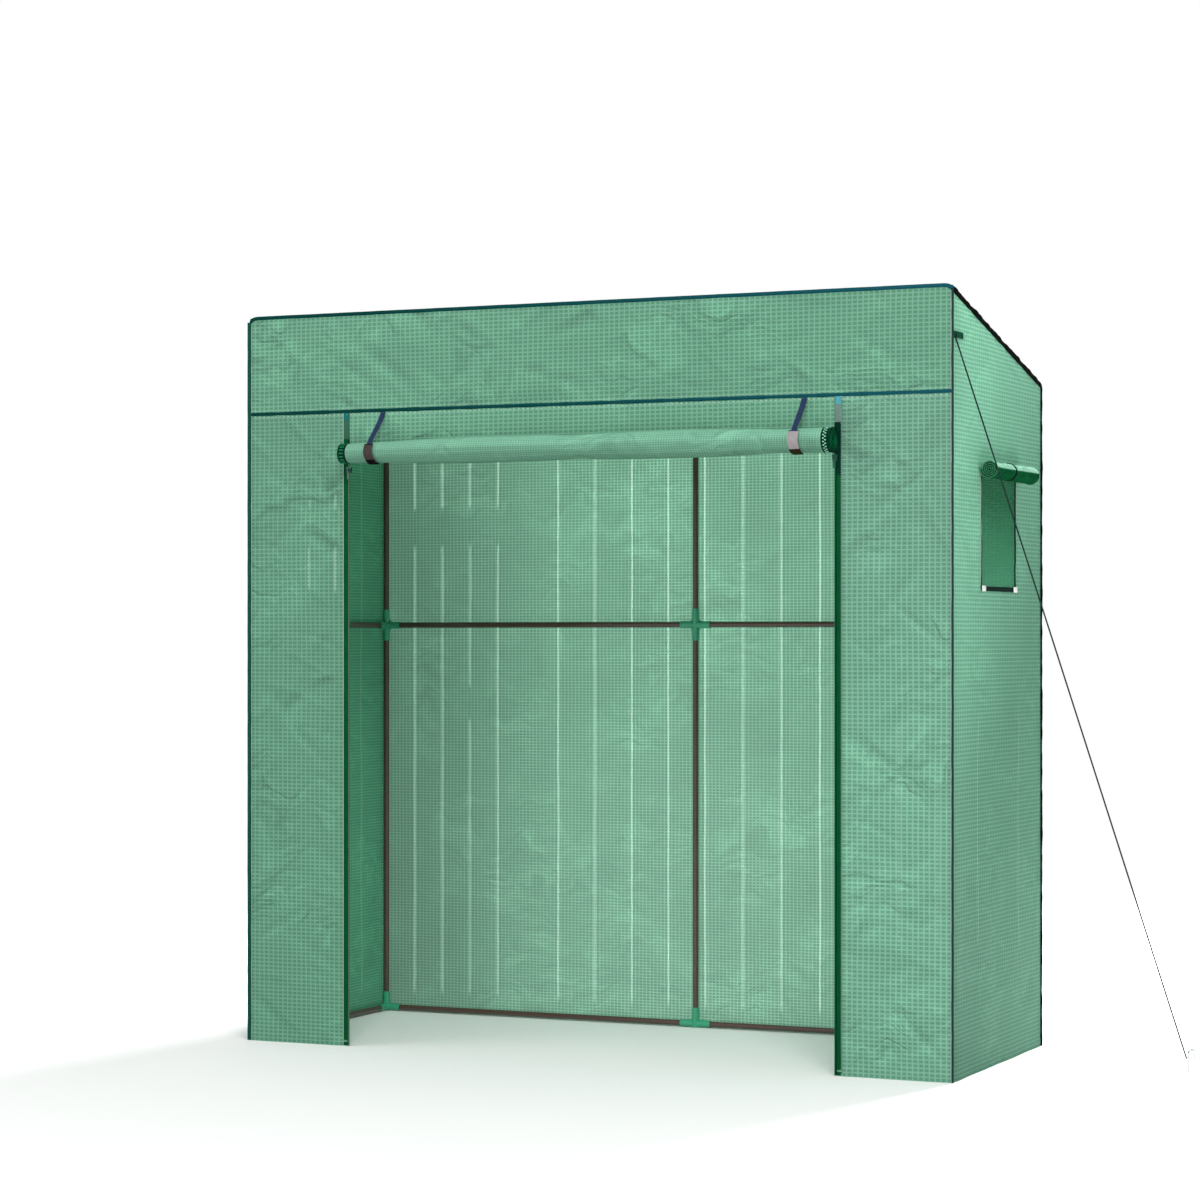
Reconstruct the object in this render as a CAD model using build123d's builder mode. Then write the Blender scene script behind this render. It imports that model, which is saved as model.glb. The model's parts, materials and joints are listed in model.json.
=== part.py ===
from build123d import *

import os
from itertools import combinations
from math import acos, atan2, cos, degrees, hypot, pi, sin, tan

# A walk-in lean-to greenhouse: a push-fit tube frame under a sewn woven-film cover, with a
# rolled-up door between two zips, a rolled-up flap over a screened window in each side wall,
# webbing straps and one guy rope. Millimetres. X runs to the viewer's right, the door faces -Y,
# Z is up, and the origin is the middle of the footprint on the ground.

os.makedirs("parts", exist_ok=True)

# ---- driving dimensions -------------------------------------------------------------------
# cover
cover_width = 2000.0
cover_depth = 770.0
front_height = 1970.0
roof_fall = 185.0  # of the rear eave below the front one
sheet_t = 1.0  # one layer of the cover, its hems included
piping_r = 4.0
header_height = 262.0  # from the top down to the seam that the door and the wings hang from

# doorway
zip_x = 695.0  # from the middle of the door to each zip
zip_tape_w = 17.0
zip_tape_t = 1.0
zip_coil_r = 1.75
wing_setback = 5.0  # from the zip's coil to the wing's edge
door_roll_r = 33.0
roll_below_seam = 113.0  # centre of the rolled-up door
door_roll_end_gap = 7.0  # from the roll's end to the zip
roll_pitch = 6.0  # one turn of a loosely rolled sheet to the next
slider_below_roll = 45.0

# windows
window_from_front = 241.0
window_w = 288.0
window_h = 283.0
sill_above_rail = 95.0
flap_seam_above_window = 29.0
flap_roll_r = 24.0
flap_roll_below_seam = 16.0
flap_lap = 27.0  # of the flap beyond the opening, at each side
binding_w = 8.0
binding_t = 1.2
screen_t = 0.8
screen_lap = 10.0  # of the screen behind the wall, round the opening
loop_tab_w = 30.0
loop_tab_h = 14.0
loop_tab_t = 1.2

# webbing
strap_w = 15.0
strap_t = 1.0
strap_x = 600.0
strap_gap = 0.5  # round a roll
tie_w = 9.0
guy_tab_l = 80.0
guy_tab_h = 15.0
guy_tab_t = 1.5
guy_tab_below_top = 120.0
rope_r = 2.0
rope_from_front = 20.0

# ground peg of the guy rope: from the middle of the footprint to the right and to the rear
peg_x = 1484.0
peg_behind_middle = 51.0
peg_r = 3.0
peg_bend_r = 9.0
peg_stem_height = 46.0
peg_hook_drop = 12.0
rope_end_height = 34.0

# frame
tube_r = 8.0
tube_wall = 1.0
socket_r = 10.0
hub_r = 11.0  # of the ball that the arms of a corner connector meet in, and of a foot
socket_clearance = 0.1
socket_seat = 12.0  # from a connector's centre to the bottom of its sockets
arm_length = 45.0
tube_end_gap = 0.3
gusset_leg = 26.0
gusset_t = 6.0
mid_rail_height = 1136.0

# clearances
cover_gap = 0.3  # from the frame to the cover
running_gap = 0.3  # from what moves to what it passes

# zip slider and its pull
slider_top_w = 15.0
slider_bottom_w = 11.0
slider_h = 17.0
slider_corner_r = 2.5
slider_plate_t = 1.2
slider_mouth = 4.8  # between its two plates
slider_post_w = 2.4
slider_post_h = 6.0
bridge_w = 3.0
bridge_h = 7.0
bridge_wall = 1.2
pull_bar_r = 0.9
pull_clearance = 0.1
pull_leg_w = 1.5
pull_leg_l = 7.0
pull_w = 7.0
pull_l = 25.0
pull_t = 1.2

# ---- places worked out from them ------------------------------------------------------------
rear_height = front_height - roof_fall
seam_height = front_height - header_height
door_roll_height = seam_height - roll_below_seam
guy_tab_height = front_height - guy_tab_below_top
window_sill = mid_rail_height + sill_above_rail
window_head = window_sill + window_h
flap_seam_height = window_head + flap_seam_above_window
flap_roll_height = flap_seam_height - flap_roll_below_seam
flap_w = window_w + 2 * flap_lap

front_reach = running_gap + 2 * door_roll_r + strap_gap + strap_t  # of the door roll and its straps
rear_reach = piping_r - sheet_t / 2
front_y = front_reach - (cover_depth + front_reach + rear_reach) / 2  # outer face of the front
rear_y = front_y + cover_depth
middle_y = front_y + cover_depth / 2

# the panels' middle surfaces meet on these lines, and the piping runs along them
edge_x = cover_width / 2 - sheet_t / 2
edge_front_y = front_y + sheet_t / 2
edge_rear_y = rear_y - sheet_t / 2
edge_front_z = front_height - sheet_t / 2
edge_rear_z = rear_height - sheet_t / 2
roof_angle = atan2(edge_front_z - edge_rear_z, edge_rear_y - edge_front_y)
roof_length = hypot(edge_front_z - edge_rear_z, edge_rear_y - edge_front_y)
roof_down = Vector(0, cos(roof_angle), -sin(roof_angle))
roof_up = Vector(0, sin(roof_angle), cos(roof_angle))

# centre lines of the frame
frame_inset = sheet_t + cover_gap + hub_r
post_x = cover_width / 2 - frame_inset
front_post_y = front_y + frame_inset
rear_post_y = rear_y - frame_inset
roof_inset = (sheet_t / 2 + cover_gap + hub_r) / cos(roof_angle)


def frame_top(y):
    """Height of the rafters' centre line."""
    return edge_front_z - (y - edge_front_y) * tan(roof_angle) - roof_inset


front_top_z = frame_top(front_post_y)
rear_top_z = frame_top(rear_post_y)
ground_z = hub_r

window_y = front_y + window_from_front + window_w / 2
slider_x = zip_x - 1.5
slider_z = door_roll_height - slider_below_roll
coil_y = front_y - zip_tape_t / 2
door_roll_y = front_y - running_gap - door_roll_r
door_roll_half = zip_x - door_roll_end_gap
flap_out = binding_t + running_gap  # from the wall's outer face to the flap's inner face

left, right = Vector(-1, 0, 0), Vector(1, 0, 0)
forward, backward = Vector(0, -1, 0), Vector(0, 1, 0)
down, up = Vector(0, 0, -1), Vector(0, 0, 1)


def save(part, label):
    part.label = label
    export_step(part, f"parts/{label}.step")


# ---- tube frame -------------------------------------------------------------------------------
def build_tubes(label, spans):
    """Round tubes, each between the sockets of the connectors centred at its span's two ends."""
    end = socket_seat + tube_end_gap
    with BuildPart() as tubes:
        for start, stop in spans:
            run = stop - start
            with BuildSketch(Plane(origin=start + run.normalized() * end, z_dir=run)):
                Circle(tube_r)
                Circle(tube_r - tube_wall, mode=Mode.SUBTRACT)
            extrude(amount=run.length - 2 * end)
    save(tubes.part, label)


def build_connector(label, centre, arms, on_ground=False):
    """A moulded push-fit connector: blind sockets along its arms, with a gusset between each two.
    Two arms in line are one straight run; where more than one arm turns off, they meet in a ball."""
    in_line = [arm for arm in arms if any(arm.dot(other) < -0.99 for other in arms)]
    straight = len(arms) - len(in_line) < 2 and not on_ground
    with BuildPart() as connector:
        if on_ground:
            with BuildSketch(Plane.XY):
                with Locations((centre.X, centre.Y)):
                    Circle(hub_r)
            extrude(amount=2 * centre.Z)
        elif straight:
            with BuildSketch(Plane(origin=centre, z_dir=in_line[0])):
                Circle(socket_r)
            extrude(amount=arm_length, both=True)
        else:
            with Locations(centre):
                Sphere(hub_r, rotation=(45, 0, 0))  # its seam lies clear of the arms
        for arm in arms:
            if not straight or arm not in in_line[:2]:
                with BuildSketch(Plane(origin=centre, z_dir=arm)):
                    Circle(socket_r)
                extrude(amount=arm_length)
        for one, other in combinations(arms, 2):
            if abs(one.dot(other)) < 0.5:
                with BuildSketch(Plane(origin=centre, z_dir=one.cross(other), x_dir=one)):
                    lean = one.get_angle(other) * pi / 180
                    with BuildLine():
                        Polyline(
                            (0, 0),
                            (gusset_leg, 0),
                            (gusset_leg * cos(lean), gusset_leg * sin(lean)),
                            close=True,
                        )
                    make_face()
                extrude(amount=gusset_t / 2, both=True)
        for arm in arms:
            with BuildSketch(Plane(origin=centre + arm * socket_seat, z_dir=arm)):
                Circle(tube_r + socket_clearance)
            extrude(amount=arm_length, mode=Mode.SUBTRACT)
    save(connector.part, label)


def build_frame():
    sides = {"left": -post_x, "mid": 0.0, "right": post_x}
    rear_mid = {s: Vector(x, rear_post_y, mid_rail_height) for s, x in sides.items()}
    rear_top = {s: Vector(x, rear_post_y, rear_top_z) for s, x in sides.items()}
    rear_foot = {s: Vector(x, rear_post_y, ground_z) for s, x in sides.items()}
    front_top = {s: Vector(x, front_post_y, front_top_z) for s, x in sides.items()}
    front_mid = {s: Vector(x, front_post_y, mid_rail_height) for s, x in sides.items()}
    front_foot = {s: Vector(x, front_post_y, ground_z) for s, x in sides.items()}

    for side in ("left", "right"):
        build_tubes(
            f"post_front_{side}",
            [(front_foot[side], front_mid[side]), (front_mid[side], front_top[side])],
        )
    for side in sides:
        build_tubes(
            f"post_rear_{side}",
            [(rear_foot[side], rear_mid[side]), (rear_mid[side], rear_top[side])],
        )
        build_tubes(f"rafter_{side}", [(front_top[side], rear_top[side])])
    for label, row in (
        ("rail_front_top", front_top),
        ("rail_rear_top", rear_top),
        ("rail_rear_mid", rear_mid),
        ("rail_rear_ground", rear_foot),
    ):
        build_tubes(label, [(row["left"], row["mid"]), (row["mid"], row["right"])])
    for label, front, rear in (
        ("rail_side_mid", front_mid, rear_mid),
        ("rail_side_ground", front_foot, rear_foot),
    ):
        build_tubes(label, [(front[s], rear[s]) for s in ("left", "right")])

    inward = {"left": [right], "mid": [left, right], "right": [left]}
    for side, along in inward.items():
        post_down = [] if side == "mid" else [down]
        sideways = [] if side == "mid" else [forward]
        build_connector(
            f"joint_front_top_{side}", front_top[side], post_down + along + [roof_down]
        )
        build_connector(
            f"joint_rear_top_{side}", rear_top[side], [down] + along + [roof_down * -1]
        )
        build_connector(
            f"joint_rear_mid_{side}", rear_mid[side], [down, up] + along + sideways
        )
        build_connector(
            f"foot_rear_{side}", rear_foot[side], [up] + along + sideways, on_ground=True
        )
    for side in ("left", "right"):
        build_connector(f"joint_front_mid_{side}", front_mid[side], [down, up, backward])
        build_connector(f"foot_front_{side}", front_foot[side], [up, backward], on_ground=True)


# ---- cover ------------------------------------------------------------------------------------
front_plane = Plane(origin=(0, edge_front_y, 0), x_dir=(1, 0, 0), z_dir=(0, -1, 0))
rear_plane = Plane(origin=(0, edge_rear_y, 0), x_dir=(1, 0, 0), z_dir=(0, -1, 0))
roof_plane = Plane(
    origin=(0, edge_front_y, edge_front_z), x_dir=(1, 0, 0), z_dir=tuple(roof_up)
)


def side_plane(x):
    return Plane(origin=(x, 0, 0), x_dir=(0, 1, 0), z_dir=(1, 0, 0))


def build_panel(label, plane, low, high):
    """A rectangular sheet between two corners on its plane."""
    with BuildPart() as panel:
        with BuildSketch(plane):
            with Locations(((low[0] + high[0]) / 2, (low[1] + high[1]) / 2)):
                Rectangle(high[0] - low[0], high[1] - low[1])
        extrude(amount=sheet_t / 2, both=True)
    save(panel.part, label)


def build_side(label, x):
    """A side wall with its sloping head and its window opening."""
    near, far = edge_front_y + piping_r, edge_rear_y - piping_r
    below_piping = piping_r / cos(roof_angle)
    with BuildPart() as side:
        with BuildSketch(side_plane(x)):
            with BuildLine():
                Polyline(
                    (near, 0),
                    (far, 0),
                    (far, edge_rear_z + piping_r * tan(roof_angle) - below_piping),
                    (near, edge_front_z - piping_r * tan(roof_angle) - below_piping),
                    close=True,
                )
            make_face()
            with Locations((window_y, (window_sill + window_head) / 2)):
                Rectangle(window_w, window_head - window_sill, mode=Mode.SUBTRACT)
        extrude(amount=sheet_t / 2, both=True)
    save(side.part, label)


def build_piping():
    """The rounded tape sewn into every edge of the cover and into the seam over the door."""
    corners = [
        [Vector(x, edge_front_y, edge_front_z), Vector(x, edge_rear_y, edge_rear_z)]
        for x in (-edge_x, edge_x)
    ]
    lines = [(front, Vector(front.X, front.Y, 0)) for front, _ in corners]
    lines += [(rear, Vector(rear.X, rear.Y, 0)) for _, rear in corners]
    lines += [tuple(pair) for pair in corners]
    lines += [(corners[0][0], corners[1][0]), (corners[0][1], corners[1][1])]
    lines += [
        (Vector(-edge_x, edge_front_y, seam_height), Vector(edge_x, edge_front_y, seam_height))
    ]
    with BuildPart() as piping:
        for start, stop in lines:
            with BuildSketch(Plane(origin=start, z_dir=stop - start)):
                Circle(piping_r)
            extrude(amount=(stop - start).length)
    save(piping.part, "cover_piping")


def build_cover():
    half = edge_x - piping_r
    wing_edge = zip_x + wing_setback
    seam_top, seam_bottom = seam_height + piping_r, seam_height - piping_r
    build_panel("cover_header", front_plane, (-half, seam_top), (half, edge_front_z - piping_r))
    build_panel("cover_wing_left", front_plane, (-half, 0), (-wing_edge, seam_bottom))
    build_panel("cover_wing_right", front_plane, (wing_edge, 0), (half, seam_bottom))
    build_panel("cover_rear", rear_plane, (-half, 0), (half, edge_rear_z - piping_r))
    build_panel("cover_roof", roof_plane, (-half, piping_r), (half, roof_length - piping_r))
    build_side("cover_side_left", -edge_x)
    build_side("cover_side_right", edge_x)
    build_piping()


# ---- rolled sheets ------------------------------------------------------------------------------
def spiral_section(radius, turns):
    """Closed outline of a rolled sheet, in half turns. Its outer end comes down the +x side, and
    its lower halves are centred on the origin and its upper ones half a pitch beside it."""
    step = roll_pitch / 2
    for half_turn in range(2 * turns):
        lower = half_turn % 2 == 0
        middle = (0 if lower else -step, 0)
        outer = radius - half_turn * step
        start = 0 if lower else 180
        for r in (outer, outer - sheet_t):
            CenterArc(middle, r, start, -180)
    inner = radius - 2 * turns * step
    Line((radius - sheet_t, 0), (radius, 0))
    Line((inner - sheet_t, 0), (inner, 0))


def build_roll(label, centre, toward_wall, radius, half_length):
    """A rolled sheet that lies against its own hanging part on the side toward the wall."""
    turns = int((radius - roll_pitch) / roll_pitch)
    with BuildPart() as roll:
        with BuildSketch(Plane(origin=centre, x_dir=toward_wall, z_dir=toward_wall.cross(up))):
            with BuildLine():
                spiral_section(radius, turns)
            make_face()
        extrude(amount=half_length, both=True)
    save(roll.part, label)


def build_strap(label, rolls, width, roll_r, wall_gap, back_gap, rise):
    """Webbing that hangs from a seam, passes down in front of a roll, round under it and up behind
    its hanging sheet. wall_gap is from the roll to the front of that sheet, back_gap from the
    sheet's front to the webbing behind it, and rise from the roll's centre to the seam."""
    loop_r = roll_r + strap_gap + strap_t / 2
    back = roll_r + wall_gap + back_gap + strap_t / 2
    under_r = (back + loop_r) / 2
    top = (roll_r + wall_gap - strap_t, rise)
    reach = hypot(*top)
    touch = atan2(top[1], top[0]) + acos(loop_r / reach)
    with BuildPart() as strap:
        for centre, toward_wall in rolls:
            across = toward_wall.cross(up)
            with BuildSketch(Plane(origin=centre, x_dir=toward_wall, z_dir=across)):
                with BuildLine():
                    for side in (-strap_t / 2, strap_t / 2):
                        radius = loop_r + side
                        turn = 180 - degrees(touch)
                        shift = (side * cos(touch), side * sin(touch))
                        seam_end = (top[0] + shift[0], top[1] + shift[1])
                        Line(seam_end, (radius * cos(touch), radius * sin(touch)))
                        CenterArc((0, 0), radius, degrees(touch), turn)
                        CenterArc((back - under_r, 0), under_r + side, 180, 180)
                        Line((back + side, 0), (back + side, rise))
                    half = strap_t / 2
                    Line((back - half, rise), (back + half, rise))
                    Line(
                        (top[0] - half * cos(touch), top[1] - half * sin(touch)),
                        (top[0] + half * cos(touch), top[1] + half * sin(touch)),
                    )
                make_face()
            extrude(amount=width / 2, both=True)
    save(strap.part, label)


# ---- door ---------------------------------------------------------------------------------------
def build_door():
    seam_bottom = seam_height - piping_r
    build_panel(
        "door_curtain",
        front_plane,
        (-door_roll_half, door_roll_height),
        (door_roll_half, seam_bottom),
    )
    centre = Vector(0, door_roll_y, door_roll_height)
    build_roll("door_roll", centre, backward, door_roll_r, door_roll_half)
    build_strap(
        "door_straps",
        [(centre + right * x, backward) for x in (-strap_x, strap_x)],
        strap_w,
        door_roll_r,
        running_gap,
        sheet_t + strap_gap,
        seam_bottom - door_roll_height - strap_gap,
    )


def build_zip_tapes():
    """The wings' halves of the two door zips: a woven tape with the coil along its free edge."""
    with BuildPart() as tapes:
        with BuildSketch(Plane.XY):
            for side in (-1, 1):
                with Locations((side * (zip_x + zip_tape_w / 2), coil_y)):
                    Rectangle(zip_tape_w, zip_tape_t)
                with Locations((side * zip_x, coil_y)):
                    Circle(zip_coil_r)
        extrude(amount=seam_height - piping_r)
    save(tapes.part, "zip_tapes")


def build_slider(label, side):
    """Two plates joined by a post that the coil passes, and a bridge that carries the pull."""
    plate_in = slider_mouth / 2
    face = coil_y - plate_in - slider_plate_t
    x = side * slider_x
    pull_axis_out = bridge_wall + pull_bar_r + pull_clearance
    with BuildPart() as slider:
        for y, depth in ((face, slider_plate_t), (coil_y + plate_in, slider_plate_t)):
            plate_plane = Plane(origin=(x, y, slider_z), x_dir=(1, 0, 0), z_dir=(0, 1, 0))
            with BuildSketch(plate_plane) as plate:
                with BuildLine():
                    Polyline(
                        (-slider_top_w / 2, -slider_h / 2),
                        (slider_top_w / 2, -slider_h / 2),
                        (slider_bottom_w / 2, slider_h / 2),
                        (-slider_bottom_w / 2, slider_h / 2),
                        close=True,
                    )
                make_face()
                fillet(plate.vertices(), slider_corner_r)
            extrude(amount=depth)
        post_x_side = x - side * (zip_coil_r + slider_post_w / 2)
        with BuildSketch(
            Plane(origin=(post_x_side, face, slider_z), x_dir=(1, 0, 0), z_dir=(0, 1, 0))
        ):
            with Locations((0, -slider_h / 2 + slider_post_h / 2)):
                Rectangle(slider_post_w, slider_post_h)
        extrude(amount=2 * slider_plate_t + slider_mouth)
        with BuildSketch(Plane(origin=(x, face, slider_z), x_dir=(0, 1, 0), z_dir=(1, 0, 0))):
            with Locations((-pull_axis_out / 2, 0)):
                Rectangle(pull_axis_out, bridge_h)
            with Locations((-pull_axis_out, 0)):
                Circle(bridge_h / 2)
                Circle(pull_bar_r + pull_clearance, mode=Mode.SUBTRACT)
        extrude(amount=bridge_w / 2, both=True)
    save(slider.part, label)


def build_pull(label, side):
    """A tab on two legs, whose bar runs through the slider's bridge."""
    face = coil_y - slider_mouth / 2 - slider_plate_t
    axis_y = face - bridge_wall - pull_bar_r - pull_clearance
    with BuildPart() as pull:
        with BuildSketch(Plane(origin=(side * slider_x, axis_y, slider_z), z_dir=(1, 0, 0))):
            Circle(pull_bar_r)
        extrude(amount=pull_w / 2, both=True)
        with BuildSketch(
            Plane(origin=(side * slider_x, axis_y, slider_z), x_dir=(1, 0, 0), z_dir=(0, -1, 0))
        ):
            for leg in (-1, 1):
                with Locations((leg * (pull_w - pull_leg_w) / 2, -pull_leg_l / 2)):
                    Rectangle(pull_leg_w, pull_leg_l)
            with Locations((0, -(pull_leg_l + pull_l) / 2)):
                RectangleRounded(pull_w, pull_l - pull_leg_l + pull_leg_w, pull_leg_w)
        extrude(amount=pull_t / 2, both=True)
    save(pull.part, label)


# ---- windows --------------------------------------------------------------------------------------
def wall_plane(side, out):
    """A plane parallel to a side wall, that far outside its outer face, facing outwards."""
    x = side * (cover_width / 2 + out)
    return Plane(origin=(x, 0, 0), x_dir=(0, side, 0), z_dir=(side, 0, 0))


def build_window(name, side):
    outward, to_wall = right * side, right * -side
    middle_z = (window_sill + window_head) / 2
    with BuildPart() as screen:
        with BuildSketch(wall_plane(side, -sheet_t)):
            with Locations((side * window_y, middle_z)):
                Rectangle(
                    window_w + 2 * screen_lap, window_head - window_sill + 2 * screen_lap
                )
        extrude(amount=-screen_t)
    save(screen.part, f"window_screen_{name}")

    with BuildPart() as flap:
        with BuildSketch(wall_plane(side, flap_out)):
            with Locations((side * window_y, (flap_seam_height + flap_roll_height) / 2)):
                Rectangle(flap_w, flap_seam_height - flap_roll_height)
        extrude(amount=sheet_t)
    save(flap.part, f"window_flap_{name}")

    roll_out = flap_out + sheet_t + running_gap + flap_roll_r
    centre = outward * (cover_width / 2 + roll_out) + backward * window_y
    centre += up * flap_roll_height
    build_roll(f"window_roll_{name}", centre, to_wall, flap_roll_r, flap_w / 2)
    build_strap(
        f"window_tie_{name}",
        [(centre, to_wall)],
        tie_w,
        flap_roll_r,
        running_gap,
        sheet_t + (flap_out - strap_t) / 2,
        flap_seam_height - flap_roll_height,
    )


def build_window_trim():
    """Binding down both sides of each window, along its sill and along the flap's seam."""
    opening_h = window_head - window_sill
    with BuildPart() as binding:
        for side in (-1, 1):
            with BuildSketch(wall_plane(side, 0)):
                for edge in (-1, 1):
                    y = side * window_y + edge * (window_w + binding_w) / 2
                    with Locations((y, window_sill + opening_h / 2 - binding_w / 2)):
                        Rectangle(binding_w, opening_h + binding_w)
                with Locations((side * window_y, window_sill - binding_w / 2)):
                    Rectangle(window_w, binding_w)
            extrude(amount=binding_t)
            with BuildSketch(wall_plane(side, 0)):
                with Locations((side * window_y, flap_seam_height + binding_w / 2)):
                    Rectangle(flap_w, binding_w)
            extrude(amount=flap_out + sheet_t)
    save(binding.part, "window_binding")

    with BuildPart() as tabs:
        for side in (-1, 1):
            with BuildSketch(wall_plane(side, binding_t)):
                for edge in (-1, 1):
                    y = side * window_y + edge * ((window_w - loop_tab_w) / 2 + binding_w)
                    with Locations((y, window_sill - loop_tab_h / 2)):
                        Rectangle(loop_tab_w, loop_tab_h)
            extrude(amount=loop_tab_t)
    save(tabs.part, "window_loop_tabs")


# ---- guy rope ---------------------------------------------------------------------------------------
peg_foot = Vector(peg_x, middle_y + peg_behind_middle, 0)
rope_top = Vector(
    cover_width / 2 + rope_r + 0.8,
    front_y + rope_from_front,
    guy_tab_height - guy_tab_h / 2 - 1.0,
)
rope_outward = Vector(peg_foot.X - rope_top.X, peg_foot.Y - rope_top.Y, 0).normalized()
rope_foot = peg_foot + up * rope_end_height - rope_outward * (peg_r + running_gap + rope_r * 1.1)


def build_guy():
    with BuildPart() as tabs:
        for side in (-1, 1):
            with BuildSketch(wall_plane(side, 0)):
                with Locations(
                    (side * (edge_front_y + piping_r + guy_tab_l / 2), guy_tab_height)
                ):
                    Rectangle(guy_tab_l, guy_tab_h)
            extrude(amount=guy_tab_t)
    save(tabs.part, "guy_tabs")

    with BuildPart() as rope:
        with BuildSketch(Plane(origin=rope_top, z_dir=rope_foot - rope_top)):
            Circle(rope_r)
        extrude(amount=(rope_foot - rope_top).length)
    save(rope.part, "guy_rope")

    # the stem of the peg shows above the ground and bends over, away from the rope's pull
    bend_side = Plane(origin=peg_foot, x_dir=rope_outward, z_dir=rope_outward.cross(up))
    with BuildPart() as peg:
        with BuildLine(bend_side):
            stem = Line((0, 0), (0, peg_stem_height))
            bend = CenterArc((peg_bend_r, peg_stem_height), peg_bend_r, 180, -180)
            Line(bend @ 1, bend @ 1 - Vector(0, 0, peg_hook_drop))
        with BuildSketch(Plane.XY):
            with Locations((peg_foot.X, peg_foot.Y)):
                Circle(peg_r)
        sweep()
    save(peg.part, "guy_peg")


build_frame()
build_cover()
build_door()
build_zip_tapes()
for name, side in (("left", -1), ("right", 1)):
    build_slider(f"zip_slider_{name}", side)
    build_pull(f"zip_pull_{name}", side)
    build_window(name, side)
build_window_trim()
build_guy()

rope_run = rope_foot - rope_top
print(f"roof slope {degrees(roof_angle):.2f} degrees, front face at y {front_y:.2f}")
print(f"door roll at y {door_roll_y:.2f}, window at y {window_y:.2f}, posts at x {post_x:.2f}")
print(f"rope from {tuple(rope_top)} to {tuple(rope_foot)}, {rope_run.length:.1f} long")
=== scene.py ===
import json
import math
from functools import partial

import bpy
import numpy as np
from mathutils import Matrix, Vector


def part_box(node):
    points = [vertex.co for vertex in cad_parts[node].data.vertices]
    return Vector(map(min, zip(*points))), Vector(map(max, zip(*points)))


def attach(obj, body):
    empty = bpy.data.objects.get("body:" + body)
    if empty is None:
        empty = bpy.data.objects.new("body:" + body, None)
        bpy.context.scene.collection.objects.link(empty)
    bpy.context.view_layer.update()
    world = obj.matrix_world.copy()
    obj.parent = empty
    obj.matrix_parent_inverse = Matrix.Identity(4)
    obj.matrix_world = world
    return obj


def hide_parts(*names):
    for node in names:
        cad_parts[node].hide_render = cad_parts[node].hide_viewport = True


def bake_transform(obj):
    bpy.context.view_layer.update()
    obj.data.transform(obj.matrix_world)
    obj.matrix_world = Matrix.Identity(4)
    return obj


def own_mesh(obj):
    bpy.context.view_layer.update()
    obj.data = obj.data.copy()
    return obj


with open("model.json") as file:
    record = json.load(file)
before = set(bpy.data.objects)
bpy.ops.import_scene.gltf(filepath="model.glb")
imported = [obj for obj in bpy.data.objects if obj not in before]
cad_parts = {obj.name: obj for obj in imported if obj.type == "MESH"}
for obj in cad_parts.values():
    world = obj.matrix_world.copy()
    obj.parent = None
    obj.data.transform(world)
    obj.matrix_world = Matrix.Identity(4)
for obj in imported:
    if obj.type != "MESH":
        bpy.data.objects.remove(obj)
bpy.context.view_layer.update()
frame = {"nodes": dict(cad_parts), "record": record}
scene = bpy.context.scene
cad = frame["nodes"]


# places, read from the frame, in metres
def lowOf(node):
    return Vector(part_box(node)[0])


def highOf(node):
    return Vector(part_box(node)[1])


def middleOf(node):
    return (lowOf(node) + highOf(node)) / 2


film = 0.001  # one layer of the cover
pipingHalf = 0.004
frontY = lowOf("cover_header").y
rearY = highOf("cover_rear").y
sideX = highOf("cover_side_right").x
seamZ = (lowOf("cover_header").z + highOf("door_curtain").z) / 2
frontTopZ = highOf("cover_piping").z - pipingHalf
rearTopZ = highOf("cover_rear").z + pipingHalf
roofFall = (frontTopZ - rearTopZ) / (rearY - frontY)
rollAxis = middleOf("door_roll")
rollHalf = highOf("door_roll").x
doorHalf = (highOf("zip_slider_right").x + lowOf("zip_slider_right").x) / 2
windowLow, windowHigh = lowOf("window_screen_right"), highOf("window_screen_right")
screenLap = 0.010
windowFrontY, windowBackY = windowLow.y + screenLap, windowHigh.y - screenLap
windowSill, windowHead = windowLow.z + screenLap, windowHigh.z - screenLap
flapRoll = middleOf("window_roll_right")
flapSeam = highOf("window_flap_right").z

# camera
viewSpec = {
    "place": (3.382, -7.719, 1.098),
    "turn": (90.0, 0.0, 24.36),
    "lens": 93.56,
    "shiftY": 0.0317,
}
cameraData = bpy.data.cameras.new("camera")
cameraData.lens = viewSpec["lens"]
cameraData.sensor_width = 36
cameraData.shift_y = viewSpec["shiftY"]
cameraData.clip_end = 100
camera = bpy.data.objects.new("camera", cameraData)
camera.location = viewSpec["place"]
camera.rotation_euler = [math.radians(a) for a in viewSpec["turn"]]
scene.collection.objects.link(camera)
scene.camera = camera
scene.view_settings.view_transform = "Standard"


# shader helpers
def node(tree, kind, **values):
    made = tree.nodes.new(kind)
    for key, value in values.items():
        if key.startswith("in_"):
            made.inputs[int(key[3:])].default_value = value
        else:
            setattr(made, key, value)
    return made


def math2(tree, operation, a, b=None, clamp=False):
    made = node(tree, "ShaderNodeMath", operation=operation, use_clamp=clamp)
    for index, value in enumerate((a, b)):
        if value is None:
            continue
        if isinstance(value, (int, float)):
            made.inputs[index].default_value = value
        else:
            tree.links.new(value, made.inputs[index])
    return made.outputs[0]


def mixColour(tree, factor, a, b):
    made = node(tree, "ShaderNodeMix", data_type="RGBA")
    for socket, value in ((made.inputs[0], factor), (made.inputs[6], a), (made.inputs[7], b)):
        if isinstance(value, (int, float)):
            socket.default_value = value
        elif isinstance(value, tuple):
            socket.default_value = (*value, 1)
        else:
            tree.links.new(value, socket)
    return made.outputs[2]


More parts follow.
